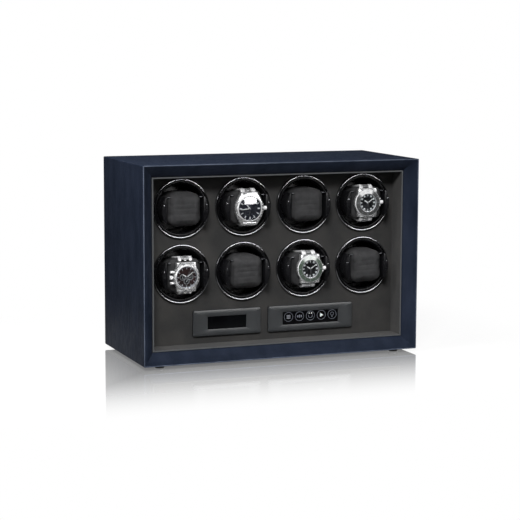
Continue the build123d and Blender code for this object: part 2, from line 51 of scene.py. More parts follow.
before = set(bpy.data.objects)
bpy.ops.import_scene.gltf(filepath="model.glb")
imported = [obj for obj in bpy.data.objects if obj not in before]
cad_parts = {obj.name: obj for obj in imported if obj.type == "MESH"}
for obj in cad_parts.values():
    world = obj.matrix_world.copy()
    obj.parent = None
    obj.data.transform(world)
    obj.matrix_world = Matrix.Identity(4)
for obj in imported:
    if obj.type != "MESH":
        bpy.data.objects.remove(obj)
cad_low, cad_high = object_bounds()
DRUMS = range(1, 9)


# ---------------------------------------------------------------- places in the frame
def middle(node):
    low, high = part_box(node)
    return (low + high) / 2


def extent(node):
    low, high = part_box(node)
    return (high - low) / MM


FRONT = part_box("top_panel")[0].y
DEPTH = extent("top_panel").y
DRUM_AT = {n: (middle(f"drum_{n}").x, middle(f"drum_{n}").z) for n in DRUMS}


def behind(y):
    """A frame height along Y as millimetres behind the cabinet's front."""
    return (y - FRONT) / MM


def facing(x, z, depth=0.0, turned=0.0):
    """Millimetres on a plane that faces forward, depth mm behind the cabinet's front."""
    return (
        Matrix.Translation((x, FRONT + depth * MM, z))
        @ Matrix.Rotation(math.pi / 2, 4, "X")
        @ Matrix.Rotation(turned, 4, "Z")
        @ Matrix.Scale(MM, 4)
    )


def shifted(x=0.0, y=0.0, z=0.0, turned=0.0, axis="Z"):
    return Matrix.Translation((x, y, z)) @ Matrix.Rotation(turned, 4, axis)


# ---------------------------------------------------------------- finishes
def srgb(red, green, blue):
    """A colour as it shows on screen, 0 to 255, as a linear one."""

    def linear(v):
        v /= 255
        return v / 12.92 if v <= 0.04045 else ((v + 0.055) / 1.055) ** 2.4

    return (linear(red), linear(green), linear(blue), 1.0)


class Wiring:
    """A node tree being built. A new node's sources are values or sockets, in order or by socket."""

    def __init__(self, tree):
        self.tree = tree

    def node(self, kind, sources=(), **settings):
        made = self.tree.nodes.new(kind)
        for name, value in settings.items():
            setattr(made, name, value)
        for socket, value in sources.items() if isinstance(sources, dict) else enumerate(sources):
            if isinstance(value, bpy.types.NodeSocket):
                self.tree.links.new(value, made.inputs[socket])
            elif value is not None:
                made.inputs[socket].default_value = value
        return made

    def maths(self, operation, *sources):
        return self.node("ShaderNodeMath", sources, operation=operation).outputs[0]

    def ramp(self, source, start, end, low=0.0, high=1.0, curve="LINEAR"):
        limits = (source, start, end, low, high)
        return self.node("ShaderNodeMapRange", limits, interpolation_type=curve).outputs["Result"]

    def fade(self, source, start, end, low, high):
        return self.ramp(source, start, end, low, high, "SMOOTHSTEP")

    def pick(self, factor, low, high):
        """low where the factor is 0, high where it is 1."""
        return self.node("ShaderNodeMix", (factor, None, low, high)).outputs[0]

    def blend(self, factor, low, high):
        """The same for two colours."""
        return self.node("ShaderNodeMix", {0: factor, 6: low, 7: high}, data_type="RGBA").outputs[2]


def cleared(owner):
    """The emptied node tree of a material or a world."""
    owner.use_nodes = True
    owner.node_tree.nodes.clear()
    return Wiring(owner.node_tree)


class Finish(Wiring):
    """A Principled material in object space, mottled between two colours, with a fine relief."""

    def __init__(self, name, low, high, scale=40.0, stretch=(1, 1, 1), detail=4.0, **constants):
        self.material = bpy.data.materials.new(name)
        self.material.use_nodes = True
        super().__init__(self.material.node_tree)
        self.shader = self.tree.nodes["Principled BSDF"]
        self.coords = self.node("ShaderNodeTexCoord").outputs["Object"]
        mottle = self.ramp(self.noise(scale, detail, stretch), 0.35, 0.65)
        self.colour = self.blend(mottle, srgb(*low), srgb(*high))
        self.drive("Base Color", self.colour)
        for socket, value in constants.items():
            self.shader.inputs[socket.replace("_", " ")].default_value = value

    def drive(self, socket, source):
        self.tree.links.new(source, self.shader.inputs[socket])
        return self

    def placed(self, stretch):
        sources = {"Vector": self.coords, "Scale": stretch}
        return self.node("ShaderNodeMapping", sources).outputs["Vector"]

    def noise(self, scale, detail=4.0, stretch=(1, 1, 1)):
        sources = {"Vector": self.placed(stretch), "Scale": scale, "Detail": detail}
        return self.node("ShaderNodeTexNoise", sources).outputs["Fac"]

    def cells(self, scale, stretch):
        sources = {"Vector": self.placed(stretch), "Scale": scale}
        return self.node("ShaderNodeTexVoronoi", sources, feature="SMOOTH_F1").outputs["Distance"]

    def axis(self, name):
        """The position along one axis of the frame, in metres."""
        return self.node("ShaderNodeSeparateXYZ", (self.coords,)).outputs[name]

    def tint(self, factor, colour):
        """Paints a colour over the mottled one where the factor is 1."""
        self.colour = self.blend(factor, self.colour, srgb(*colour))
        return self.drive("Base Color", self.colour)

    def rough(self, low, high, scale=200.0, stretch=(1, 1, 1)):
        return self.drive("Roughness", self.ramp(self.noise(scale, 3.0, stretch), 0.3, 0.7, low, high))

    def relief(self, height, depth, strength=1.0):
        sources = {"Height": height, "Distance": depth, "Strength": strength}
        return self.drive("Normal", self.node("ShaderNodeBump", sources).outputs["Normal"])


def leatherette(name, low, high):
    """Navy coated cloth with a pebbled grain and faint upright streaks."""
    skin = Finish(name, low, high, 55.0, (1, 1, 0.35), Specular_IOR_Level=0.12)
    skin.rough(0.46, 0.62, 260.0, (1, 1, 0.3))
    pebbles = skin.ramp(skin.cells(1150.0, (1, 1, 0.72)), 0.0, 0.7, 1.0, 0.0)
    fibres = skin.noise(900.0, 4.0, (1, 1, 0.16))
    return skin.relief(skin.maths("ADD", pebbles, fibres), 0.00009, 0.75)


def microfibre(name, low, high):
    cloth = Finish(name, low, high, 26.0, Specular_IOR_Level=0.18, Sheen_Weight=0.12, Sheen_Roughness=0.5)
    cloth.rough(0.8, 0.95, 400.0)
    return cloth.relief(cloth.noise(1500.0, 5.0), 0.00012, 0.6)


def metal(
    name, low, high, rough_low, rough_high, stretch=(1, 1, 1), scale=300.0, relief=0.0, metallic=1.0
):
    shine = Finish(name, low, high, scale * 0.3, stretch, Metallic=metallic)
    shine.rough(rough_low, rough_high, scale, stretch)
    if relief:
        shine.relief(shine.noise(scale * 2, 3.0, stretch), relief, 0.5)
    return shine


def plastic(name, low, high, rough_low, rough_high, grain=0.0, coat=0.0, specular=0.5):
    body = Finish(name, low, high, 30.0, Coat_Weight=coat, Coat_Roughness=0.03, Specular_IOR_Level=specular)
    body.rough(rough_low, rough_high, 120.0)
    if grain:
        body.relief(body.noise(1400.0, 4.0), grain, 0.6)
    return body


NAVY = leatherette("navy_leatherette", (23, 29, 41), (31, 37, 50))
# painted highlight: a lighter copy of the leatherette for the front rim, standing in for the light its
# eased edge catches
NAVY_PAINTED_HIGHLIGHT = leatherette("navy_leatherette_painted_highlight", (66, 73, 87), (86, 93, 107))
PANEL = microfibre("charcoal_microfibre", (50, 50, 50), (60, 59, 58))
LINING = microfibre("charcoal_lining", (46, 46, 46), (56, 55, 54))
CHROME = metal("polished_chrome", (158, 159, 163), (178, 178, 182), 0.05, 0.1)
# watch steels keep a share of plain reflection, so that they don't go black in the dark room
STEEL = metal(
    "brushed_steel", (176, 177, 178), (205, 205, 206), 0.2, 0.34, (0.12, 1, 1), 900.0, 0.00001, 0.78
)
POLISHED = metal("polished_steel", (205, 206, 208), (226, 226, 228), 0.08, 0.16, metallic=0.75)
BRIGHT = metal("bright_steel", (226, 226, 228), (242, 242, 243), 0.16, 0.26, metallic=0.45)
FOOT_METAL = metal("smoked_chrome", (66, 67, 70), (86, 87, 90), 0.12, 0.22)
GLOSS = plastic("gloss_black", (9, 9, 10), (13, 13, 15), 0.24, 0.3, specular=0.14)
CHEEK = plastic("gloss_charcoal", (13, 13, 15), (20, 20, 22), 0.22, 0.28, specular=0.2)
BEZEL = plastic("satin_grey", (38, 40, 42), (43, 45, 47), 0.29, 0.32, grain=0.00002)
GLASS_BLACK = plastic("black_glass", (3, 3, 5), (5, 6, 8), 0.06, 0.12, specular=0.2)
BOARD_BLACK = plastic("black_board", (20, 20, 21), (30, 30, 31), 0.5, 0.7, grain=0.0001)
RUBBER = plastic("rubber", (24, 24, 24), (32, 32, 32), 0.7, 0.85, grain=0.0001, specular=0.3)
WOOD = Finish("batten_wood", (150, 118, 82), (182, 148, 108), 30.0, (0.15, 1, 1)).rough(0.6, 0.75)
SHEET = metal("zinc_sheet", (150, 154, 158), (178, 181, 184), 0.3, 0.5, scale=120.0)
BRASS = metal("bush_brass", (180, 150, 90), (205, 175, 110), 0.22, 0.36)
ALUMINIUM = metal("turned_aluminium", (180, 182, 185), (204, 205, 208), 0.25, 0.38, (1, 0.1, 1), 700.0)
NYLON = plastic("pulley_white", (214, 212, 204), (228, 226, 219), 0.45, 0.6)
CIRCUIT = plastic("circuit_green", (16, 68, 44), (24, 84, 56), 0.3, 0.45)
CABLE = plastic("cable_grey", (120, 122, 126), (150, 152, 156), 0.45, 0.6)
INK = plastic("sign_white", (134, 137, 144), (150, 152, 158), 0.5, 0.6)
INK_DIM = plastic("sign_grey", (92, 95, 104), (106, 110, 118), 0.5, 0.6)
LUME = plastic("lume", (240, 243, 240), (250, 251, 249), 0.4, 0.5)

CUSHION = Finish("cushion_fabric", (48, 48, 49), (58, 58, 59), 90.0, Specular_IOR_Level=0.2)
CUSHION.rough(0.55, 0.75, 500.0)
CUSHION.relief(CUSHION.noise(1700.0, 5.0), 0.0002, 0.6)

# painted highlight: the lining's front edge, where its cut faces forward, is painted paler for the light it
# catches
LINING_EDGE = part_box("interior_lining")[0].y
painted_edge_highlight = LINING.ramp(LINING.axis("Y"), LINING_EDGE + 0.2 * MM, LINING_EDGE + 0.5 * MM, 1.0, 0.0)
LINING.tint(painted_edge_highlight, (84, 86, 88))


def dial(name, low, high):
    """A lacquered dial."""
    lacquer = {"Coat_Weight": 0.1, "Coat_Roughness": 0.08, "Specular_IOR_Level": 0.3}
    face = Finish(name, low, high, 70.0, **lacquer)
    return face.rough(0.25, 0.4, 600.0)


DIAL_BLUE = dial("dial_blue_black", (7, 11, 20), (11, 17, 29))
DIAL_BLACK = dial("dial_black", (4, 5, 7), (7, 8, 10))
DIAL_BROWN = dial("dial_brown", (30, 15, 13), (42, 21, 18))
INSERT_GREEN = plastic("bezel_green", (62, 76, 66), (78, 90, 80), 0.12, 0.2, coat=0.8)
INSERT_GREY = plastic("bezel_grey_insert", (72, 73, 73), (88, 89, 88), 0.12, 0.2, coat=0.8)


def crystal():
    """Clear glass: what lies under it shows through, and it mirrors more at a slant."""
    material = bpy.data.materials.new("crystal")
    glass = cleared(material)
    coords = glass.node("ShaderNodeTexCoord").outputs["Object"]
    smears = glass.node("ShaderNodeTexNoise", {"Vector": coords, "Scale": 120.0}).outputs["Fac"]
    tint = glass.blend(smears, (0.93, 0.95, 0.97, 1), (0.99, 0.99, 1.0, 1))
    clear = glass.node("ShaderNodeBsdfTransparent", (tint,)).outputs[0]
    mirror = glass.node("ShaderNodeBsdfGlossy", {"Roughness": 0.02}).outputs[0]
    slant = glass.node("ShaderNodeLayerWeight", {"Blend": 0.5}).outputs["Facing"]
    share = glass.ramp(slant, 0.3, 1.0, 0.13, 0.7)
    mix = glass.node("ShaderNodeMixShader", (share, clear, mirror))
    glass.node("ShaderNodeOutputMaterial", (mix.outputs[0],))
    return material


CRYSTAL = crystal()


# ---------------------------------------------------------------- mesh work
def rounded(points, radius, steps=3, closed=True):
    """The outline with its corners turned into small arcs."""
    out = []
    for i, point in enumerate(points):
        here = Vector(point)
        if not closed and i in (0, len(points) - 1):
            out.append(here)
            continue
        back, on = Vector(points[i - 1]) - here, Vector(points[(i + 1) % len(points)]) - here
        cut = min(radius, back.length * 0.45, on.length * 0.45)
        start, end = here + back.normalized() * cut, here + on.normalized() * cut
        for step in range(steps + 1):
            t = step / steps
            out.append((1 - t) ** 2 * start + 2 * t * (1 - t) * here + t * t * end)
    return out


def circle(radius, steps=48, x=0.0, y=0.0):
    turn = 2 * math.pi / steps
    angles = [k * turn for k in range(steps)]
    return [Vector((x + radius * math.cos(a), y + radius * math.sin(a))) for a in angles]


def oblong(width, height, x=0.0, y=0.0, radius=0.0, steps=4):
    corners = [(-1, -1), (1, -1), (1, 1), (-1, 1)]
    points = [(x + sx * width / 2, y + sy * height / 2) for sx, sy in corners]
    return rounded(points, radius, steps) if radius else [Vector(p) for p in points]


class Shape:
    """Turned, cut and bevelled forms gathered in one mesh, which then becomes one piece."""

    def __init__(self):
        self.mesh = bmesh.new()
        self.finishes = []

    def join(self, part, place, finish, warp=None):
        material = getattr(finish, "material", finish)
        if material not in self.finishes:
            self.finishes.append(material)
        if warp:
            for vertex in part.verts:
                vertex.co = warp(vertex.co)
        part.transform(place)
        bmesh.ops.recalc_face_normals(part, faces=part.faces)
        for face in part.faces:
            face.material_index = self.finishes.index(material)
            face.smooth = True
        carrier = bpy.data.meshes.new("carrier")
        part.to_mesh(carrier)
        part.free()
        self.mesh.from_mesh(carrier)
        bpy.data.meshes.remove(carrier)
        return self

    def turn(self, profile, place, finish, steps=64, ripple=None):
        """A lathe form from points (radius, z). ripple(angle, radius) gives the radius moved."""
        part = bmesh.new()
        rings = []
        for radius, z in profile:
            if radius < 1e-6:
                rings.append([part.verts.new((0, 0, z))])
                continue
            ring = []
            for step in range(steps):
                angle = 2 * math.pi * step / steps
                reach = ripple(angle, radius) if ripple else radius
                ring.append(part.verts.new((reach * math.cos(angle), reach * math.sin(angle), z)))
            rings.append(ring)
        for low, high in zip(rings, rings[1:] + rings[:1]):
            for step in range(steps):
                after = (step + 1) % steps
                corners = []
                for ring, index in ((low, step), (low, after), (high, after), (high, step)):
                    vertex = ring[index % len(ring)]
                    if vertex not in corners:
                        corners.append(vertex)
                if len(corners) > 2:
                    part.faces.new(corners)
        return self.join(part, place, finish)

    def plate(
        self,
        outline,
        low,
        high,
        place,
        finish,
        bevel=0.0,
        holes=(),
        hole_bevel=0.0,
        segments=2,
        warp=None,
    ):
        """A sheet cut to an outline, from z low to z high, its top edges eased by a bevel."""
        part = bmesh.new()
        loops = [[part.verts.new((p[0], p[1], low)) for p in loop] for loop in (outline, *holes)]
        if holes:
            edges = [part.edges.new((a, b)) for loop in loops for a, b in zip(loop, loop[1:] + loop[:1])]
            bmesh.ops.triangle_fill(part, use_beauty=True, use_dissolve=False, edges=edges)
        else:
            part.faces.new(loops[0])
        raised = bmesh.ops.extrude_face_region(part, geom=part.faces[:])
        top = [g for g in raised["geom"] if isinstance(g, bmesh.types.BMVert)]
        for vertex in top:
            vertex.co.z = high
        bmesh.ops.recalc_face_normals(part, faces=part.faces)
        on_top = [e for e in part.edges if all(abs(v.co.z - high) < 1e-6 for v in e.verts)]
        rim = [e for e in on_top if e.calc_face_angle(0) > 1]
        outer = {(round(p[0], 4), round(p[1], 4)) for p in outline}

        def on_outline(edge):
            at = edge.verts[0].co
            return (round(at.x, 4), round(at.y, 4)) in outer

        style = {"segments": segments, "profile": 0.5, "affect": "EDGES", "clamp_overlap": True}
        for size, wanted in ((bevel, True), (hole_bevel, False)):
            chosen = [e for e in rim if e.is_valid and on_outline(e) == wanted]
            if size and chosen:
                bmesh.ops.bevel(part, geom=chosen, offset=size, **style)
        return self.join(part, place, finish, warp)

    def disc(self, radius, low, high, place, finish, steps=72):
        return self.turn([(0, high), (radius, high), (radius, low), (0, low)], place, finish, steps)

    def block(self, size, place, finish, bevel=0.0, segments=2, warp=None):
        part = bmesh.new()
        bmesh.ops.create_cube(part, size=1.0)
        bmesh.ops.scale(part, vec=size, verts=part.verts)
        if bevel:
            style = {"segments": segments, "profile": 0.5, "affect": "EDGES"}
            bmesh.ops.bevel(part, geom=part.edges[:], offset=bevel, **style)
        return self.join(part, place, finish, warp)

    def piece(self, name, body, replaces=(), sharp=38):
        for edge in self.mesh.edges:
            edge.smooth = edge.calc_face_angle(0) < math.radians(sharp)
        mesh = bpy.data.meshes.new(name)
        self.mesh.to_mesh(mesh)
        self.mesh.free()
        for material in self.finishes:
            mesh.materials.append(material)
        made = bpy.data.objects.new(name, mesh)
        bpy.context.scene.collection.objects.link(made)
        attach(made, body)
        if replaces:
            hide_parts(*replaces)
        return made


# ---------------------------------------------------------------- cabinet
def cabinet_skin():
    """The four boards under one skin: eased outer edges, a rim in a lighter copy of the leatherette (a
    painted highlight for the light its eased edge catches) and a mitred inward bevel.
    """
    board, bevel, rim = 18.0, 16.8, 1.2
    section = rounded([(0, DEPTH), (0, 0), (rim, 0), (board, bevel), (board, DEPTH)], 0.7, 4)
    low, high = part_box("left_panel")[0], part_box("right_panel")[1]
    half_width, half_height = (high.x - low.x) / 2 / MM, (high.z - low.z) / 2 / MM
    place = facing((low.x + high.x) / 2, (low.z + high.z) / 2)
    corner_round, steps = 1.5, 5
    stations = []
    for corner, (sx, sy) in enumerate(((1, 1), (-1, 1), (-1, -1), (1, -1))):
        for step in range(steps + 1):
            stations.append((sx, sy, math.radians(90 * (corner + step / steps))))
    shape = Shape()
    part = bmesh.new()
    rings = []
    for sx, sy, angle in stations:
        ring = []
        for inward, depth in section:
            reach = max(corner_round - inward, 0.0)
            inset = max(corner_round, inward)
            x = sx * (half_width - inset) + reach * math.cos(angle)
            y = sy * (half_height - inset) + reach * math.sin(angle)
            ring.append(part.verts.new((x, y, -depth)))
        rings.append(ring)
    for ring, after in zip(rings, rings[1:] + rings[:1]):
        for k in range(len(section)):
            on = (k + 1) % len(section)
            part.faces.new((ring[k], ring[on], after[on], after[k]))
    bmesh.ops.remove_doubles(part, verts=part.verts, dist=1e-4)
    # the rim faces are split off to take the painted highlight
    painted_highlight_part = part.copy()
    bmesh.ops.delete(painted_highlight_part, geom=[f for f in painted_highlight_part.faces if not is_rim(f)], context="FACES")
    bmesh.ops.delete(part, geom=[f for f in part.faces if is_rim(f)], context="FACES")
    shape.join(part, place, NAVY)
    shape.join(painted_highlight_part, place, NAVY_PAINTED_HIGHLIGHT)
    bmesh.ops.remove_doubles(shape.mesh, verts=shape.mesh.verts, dist=1e-7)
    bmesh.ops.recalc_face_normals(shape.mesh, faces=shape.mesh.faces)
    boards = ("top_panel", "bottom_panel", "left_panel", "right_panel")
    shape.piece("cabinet_skin", "cabinet", boards, sharp=30)


def is_rim(face):
    """True for the faces of the flat rim and its eased edges, at the very front; these carry the painted
    highlight.
    """
    return all(v.co.z > -0.9 for v in face.verts) and face.calc_center_median().z > -0.55


cabinet_skin()

# ---------------------------------------------------------------- rings and drums
RING_FRONT = behind(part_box("rim_rings")[0].y)
DRUM_FRONT = behind(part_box("drum_1")[0].y)
DRUM_BACK = behind(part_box("drum_1")[1].y)
PANEL_FRONT = behind(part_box("rotor_panel")[0].y)
PANEL_BACK = behind(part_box("rotor_panel")[1].y)
RING_OUTER, RING_INNER, RING_SPIGOT = 44.4, 42.0, 43.0
DRUM_OUTER, DRUM_INNER, DRUM_REAR = 41.6, 36.5, 38.6

rings = Shape()
RING_ROUND = 1.2
ring_arc = [math.pi * k / 10 for k in range(11)]
ring_section = [
    (RING_INNER + RING_ROUND * (1 - math.cos(a)), -RING_FRONT - RING_ROUND * (1 - math.sin(a)))
    for a in ring_arc
]
ring_section += [
    (RING_OUTER, -PANEL_FRONT),
    (RING_SPIGOT, -PANEL_FRONT),
    (RING_SPIGOT, -PANEL_BACK),
    (RING_INNER, -PANEL_BACK),
]
for x, z in DRUM_AT.values():
    rings.turn(ring_section, facing(x, z), CHROME, 120)
rings.piece("chrome_rings", "cabinet", ("rim_rings",))

FLOOR_DEPTH, WALL, LIP = 96.0, 3.0, 2.0
PULLEY_R, FLANGE_R, SPINDLE_R, BOSS_R = 20.0, 22.0, 4.0, 14.0
SHOULDER_DEPTH, LIP_EASE = 60.0, 0.8
# the belt pulley on the drum's back: its front flange, its groove and its rear flange, by depth
PULLEY_FRONT, GROOVE_FRONT, GROOVE_BACK, PULLEY_BACK = 103.0, 104.5, 109.5, 111.0
lip_section = rounded(
    [
        (DRUM_INNER, -FLOOR_DEPTH),
        (DRUM_INNER, -DRUM_FRONT - LIP),
        (DRUM_INNER + LIP, -DRUM_FRONT),
        (DRUM_OUTER - LIP_EASE, -DRUM_FRONT),
        (DRUM_OUTER, -DRUM_FRONT - LIP_EASE),
        (DRUM_OUTER, -SHOULDER_DEPTH),
        (DRUM_REAR, -SHOULDER_DEPTH),
        (DRUM_REAR, -FLOOR_DEPTH - WALL),
    ],
    0.9,
    4,
    closed=False,
)
drum_section = [
    (0, -FLOOR_DEPTH),
    *lip_section,
    (BOSS_R, -FLOOR_DEPTH - WALL),
    (BOSS_R, -PULLEY_FRONT),
    (FLANGE_R, -PULLEY_FRONT),
    (FLANGE_R, -GROOVE_FRONT),
    (PULLEY_R, -GROOVE_FRONT),
    (PULLEY_R, -GROOVE_BACK),
    (FLANGE_R, -GROOVE_BACK),
    (FLANGE_R, -PULLEY_BACK),
    (SPINDLE_R, -PULLEY_BACK),
    (SPINDLE_R, -DRUM_BACK),
    (0, -DRUM_BACK),
]
for n in DRUMS:
    drum = Shape()
    drum.turn(drum_section, facing(*DRUM_AT[n]), GLOSS, 120)
    drum.piece(f"cup_{n}", f"rotor_{n}", (f"drum_{n}",), sharp=50)


# ---------------------------------------------------------------- holders
HOLDER_R, HOLDER_INNER, CHEEK_HALF_HEIGHT = 36.2, 28.2, 19.5
HOLDER_FRONT, PLINTH_FRONT, LEDGE_FRONT = 26.0, 92.0, 76.4
PIN_X, PIN_Y, PIN_R, PIN_FRONT = 33.2, 6.5, 1.5, 25.3


def cheek_outline(side):
    """A flat inside face, a round outside face that follows the drum, and eased corners."""
    reach = math.asin(CHEEK_HALF_HEIGHT / HOLDER_R)
    angles = [-reach + 2 * reach * k / 14 for k in range(15)]
    arc = [(HOLDER_R * math.cos(a), HOLDER_R * math.sin(a)) for a in angles]
    flat = [(HOLDER_INNER, CHEEK_HALF_HEIGHT), (HOLDER_INNER, -CHEEK_HALF_HEIGHT)]
    points = rounded([*flat, *arc], 2.2, 4)
    return [Vector((side * p.x, p.y)) for p in (points if side > 0 else points[::-1])]


plinth = [(0, -FLOOR_DEPTH), (HOLDER_R, -FLOOR_DEPTH), (HOLDER_R, -PLINTH_FRONT), (0, -PLINTH_FRONT)]
plinth = rounded(plinth, 0.6, 3, closed=False)
pin_back = PIN_FRONT + 1.1
pin = [(0, -PIN_FRONT), (PIN_R, -PIN_FRONT), (PIN_R, -pin_back), (0, -pin_back)]
pin = rounded(pin, 0.5, 4, closed=False)
for n in DRUMS:
    holder = Shape()
    place = facing(*DRUM_AT[n])
    holder.turn(plinth, place, GLOSS, 96)
    for side in (-1, 1):
        cheek, low = cheek_outline(side), -PLINTH_FRONT - 0.2
        holder.plate(cheek, low, -HOLDER_FRONT, place, CHEEK, bevel=0.7, segments=3)
        holder.block((4.6, 20, 4), place @ shifted(side * 26.5, 0, -LEDGE_FRONT - 2), CHEEK, 0.5)
        holder.turn(pin, place @ shifted(side * PIN_X, PIN_Y), CHROME, 24)
    holder.piece(f"holder_frame_{n}", f"rotor_{n}", (f"holder_{n}",))


# ---------------------------------------------------------------- cushions
SIM_SCALE = 10.0  # the cloth is worked ten times up, where its stiffness suits the pressure
SIM_STEPS = 20
BULGE_LIMIT = 0.016  # how far a point may move, at that scale
CREASES = ((0.0085, 0.00030), (0.0015, 0.00045), (-0.0065, 0.00035), (-0.0135, 0.00025))
CLIP_DEPTH = 35.0  # the middle of the bright clips at the upper corners of every pad
CLIP_X, CLIP_Y, CLIP_SIZE = 24.6, 18.6, (6.8, 1.2, 10.0)
REAR_DRAW = 0.2  # share of a strapped pad's height lost at its rear
PLAIN_SWELL = 3.0  # an unstrapped pad stands this much further out at its front


def block_mesh(size, corner, ease):
    """A block with wide corners as seen from the front, and its front and back edges eased."""
    part = bmesh.new()
    bmesh.ops.create_cube(part, size=1.0)
    bmesh.ops.scale(part, vec=size, verts=part.verts)
    across = [e for e in part.edges if abs(e.verts[0].co.y - e.verts[1].co.y) > size[1] / 2]
    bmesh.ops.bevel(part, geom=across, offset=corner, segments=6, profile=0.5, affect="EDGES")
    ends = [e for e in part.edges if abs(e.verts[0].co.y - e.verts[1].co.y) < size[1] / 2]
    bmesh.ops.bevel(part, geom=ends, offset=ease, segments=4, profile=0.5, affect="EDGES")
    mesh = bpy.data.meshes.new("padding")
    part.to_mesh(mesh)
    part.free()
    return mesh


def blown(size, strap):
    """A cushion's mesh, in metres about its middle, stuffed by cloth pressure, held in by a strap."""
    grown = [v * SIM_SCALE for v in size]
    pad = bpy.data.objects.new("padding", block_mesh([v * 0.93 for v in grown], 0.11, 0.05))
    bpy.context.scene.collection.objects.link(pad)
    bpy.ops.object.select_all(action="DESELECT")
    bpy.context.view_layer.objects.active = pad
    pad.select_set(True)
    remesh = pad.modifiers.new("grid", "REMESH")
    remesh.mode = "VOXEL"
    remesh.voxel_size = 0.022
    bpy.ops.object.modifier_apply(modifier="grid")
    start = [v.co.copy() for v in pad.data.vertices]
    held = pad.vertex_groups.new(name="held")
    for vertex in pad.data.vertices:
        if vertex.co.y > grown[1] * 0.44 or (strap and abs(vertex.co.x) < strap * SIM_SCALE / 2):
            held.add([vertex.index], 1.0, "ADD")
    cloth = pad.modifiers.new("stuffing", "CLOTH")
    cloth.settings.vertex_group_mass = "held"
    cloth.settings.quality = 5
    cloth.settings.use_pressure = True
    cloth.settings.uniform_pressure_force = 4.0
    cloth.settings.effector_weights.gravity = 0.0
    cloth.settings.tension_stiffness = 12.0
    cloth.settings.bending_stiffness = 0.6
    for step in range(1, SIM_STEPS + 1):
        bpy.context.scene.frame_set(step)
    bpy.ops.object.modifier_apply(modifier="stuffing")
    bpy.context.scene.frame_set(1)
    for vertex, was in zip(pad.data.vertices, start):
        moved = vertex.co - was
        if moved.length > BULGE_LIMIT:
            vertex.co = was + moved.normalized() * BULGE_LIMIT
    detail = pad.modifiers.new("detail", "SUBSURF")
    detail.levels = 1
    bpy.ops.object.modifier_apply(modifier="detail")
    mesh = pad.data
    low = Vector([min(v.co[i] for v in mesh.vertices) for i in range(3)])
    high = Vector([max(v.co[i] for v in mesh.vertices) for i in range(3)])
    for vertex in mesh.vertices:
        for i in range(3):
            share = (vertex.co[i] - low[i]) / (high[i] - low[i])
            vertex.co[i] = (share - 0.5) * size[i]
    bpy.data.objects.remove(pad)
    return mesh


def narrowing(y):
    """A bracelet draws its pad in towards the rear: the share of the height left at y metres."""
    return 1 - REAR_DRAW * (0.5 + y / cushion_size[1])


def sewn(mesh, strap, seed):
    """Seams round the two side panels and soft horizontal creases across the front."""
    for vertex in mesh.vertices:
        co = vertex.co
        seam = math.exp(-(((abs(co.x) - 0.0225) / 0.0007) ** 2))
        outward = Vector((0, co.y, co.z)).normalized()
        co -= outward * seam * 0.0005
        if co.y < -0.012:
            wave = noise.noise(Vector((co.x * 45, seed * 3.1, co.z * 12)))
            for height, depth in CREASES:
                line = height + wave * 0.0022
                fade = max(0.0, 1 - (co.x / 0.024) ** 2)
                co.y += depth * fade * math.exp(-(((co.z - line) / 0.0011) ** 2))
        co += Vector(noise.noise_vector(co * 70 + Vector((seed, 0, 0)))) * 0.00022
        if strap:
            grip = max(0.0, 1 - (abs(co.x) / (strap * 0.62)) ** 4)
            co -= outward * grip * 0.0007
    mesh.update()


class Watch(NamedTuple):
    radius: float  # of the case
    strap: float  # width of the bracelet
    side: int  # of the crown: 1 right, -1 left
    drop: float  # below the drum's axis
    across: float  # to the right of it
    shares: tuple  # of the bracelet's width, by column
    pitch: float = 5.0  # of its links
    glass: tuple = (7.3, 0.6)  # how much smaller than the case, and how far domed


WATCHES = {
    2: Watch(20.5, 24.0, 1, 1.0, 1.2, (0.3, 0.4, 0.3), glass=(2.7, 2.0)),
    4: Watch(20.8, 22.0, 1, -1.5, -2.5, (0.29, 0.42, 0.29)),
    5: Watch(20.5, 22.0, -1, 1.5, 0.0, (0.24, 0.16, 0.2, 0.16, 0.24), 4.0, (4.3, 0.7)),
    7: Watch(20.8, 22.0, 1, -1.5, 1.3, (0.3, 0.4, 0.3)),
}
cushion_size = [v * MM for v in extent("cushion_1")]
plain_cushion = blown([cushion_size[0], cushion_size[1] + PLAIN_SWELL * MM, cushion_size[2]], 0.0)
strapped_cushion = blown(cushion_size, 0.022)
for n in DRUMS:
    strap = WATCHES[n].strap * MM if n in WATCHES else 0.0
    mesh = (strapped_cushion if strap else plain_cushion).copy()
    mesh.name = f"cushion_pad_{n}"
    if strap:
        for vertex in mesh.vertices:
            vertex.co.z *= narrowing(vertex.co.y)
    sewn(mesh, strap, n)
    mesh.materials.append(CUSHION.material)
    mesh.polygons.foreach_set("use_smooth", [True] * len(mesh.polygons))
    pad = bpy.data.objects.new(f"cushion_pad_{n}", mesh)
    bpy.context.scene.collection.objects.link(pad)
    swell = 0.0 if strap else PLAIN_SWELL * MM
    mesh.transform(Matrix.Translation(middle(f"cushion_{n}") - Vector((0, swell / 2, 0))))
    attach(pad, f"cushion_{n}")
    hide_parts(f"cushion_{n}")
    clips = Shape()
    for side in (-1, 1):
        edge = facing(*DRUM_AT[n], CLIP_DEPTH) @ shifted(side * CLIP_X, CLIP_Y)
        clips.block(CLIP_SIZE, edge, FOOT_METAL, 0.4)
    clips.piece(f"cushion_clips_{n}", f"cushion_{n}")


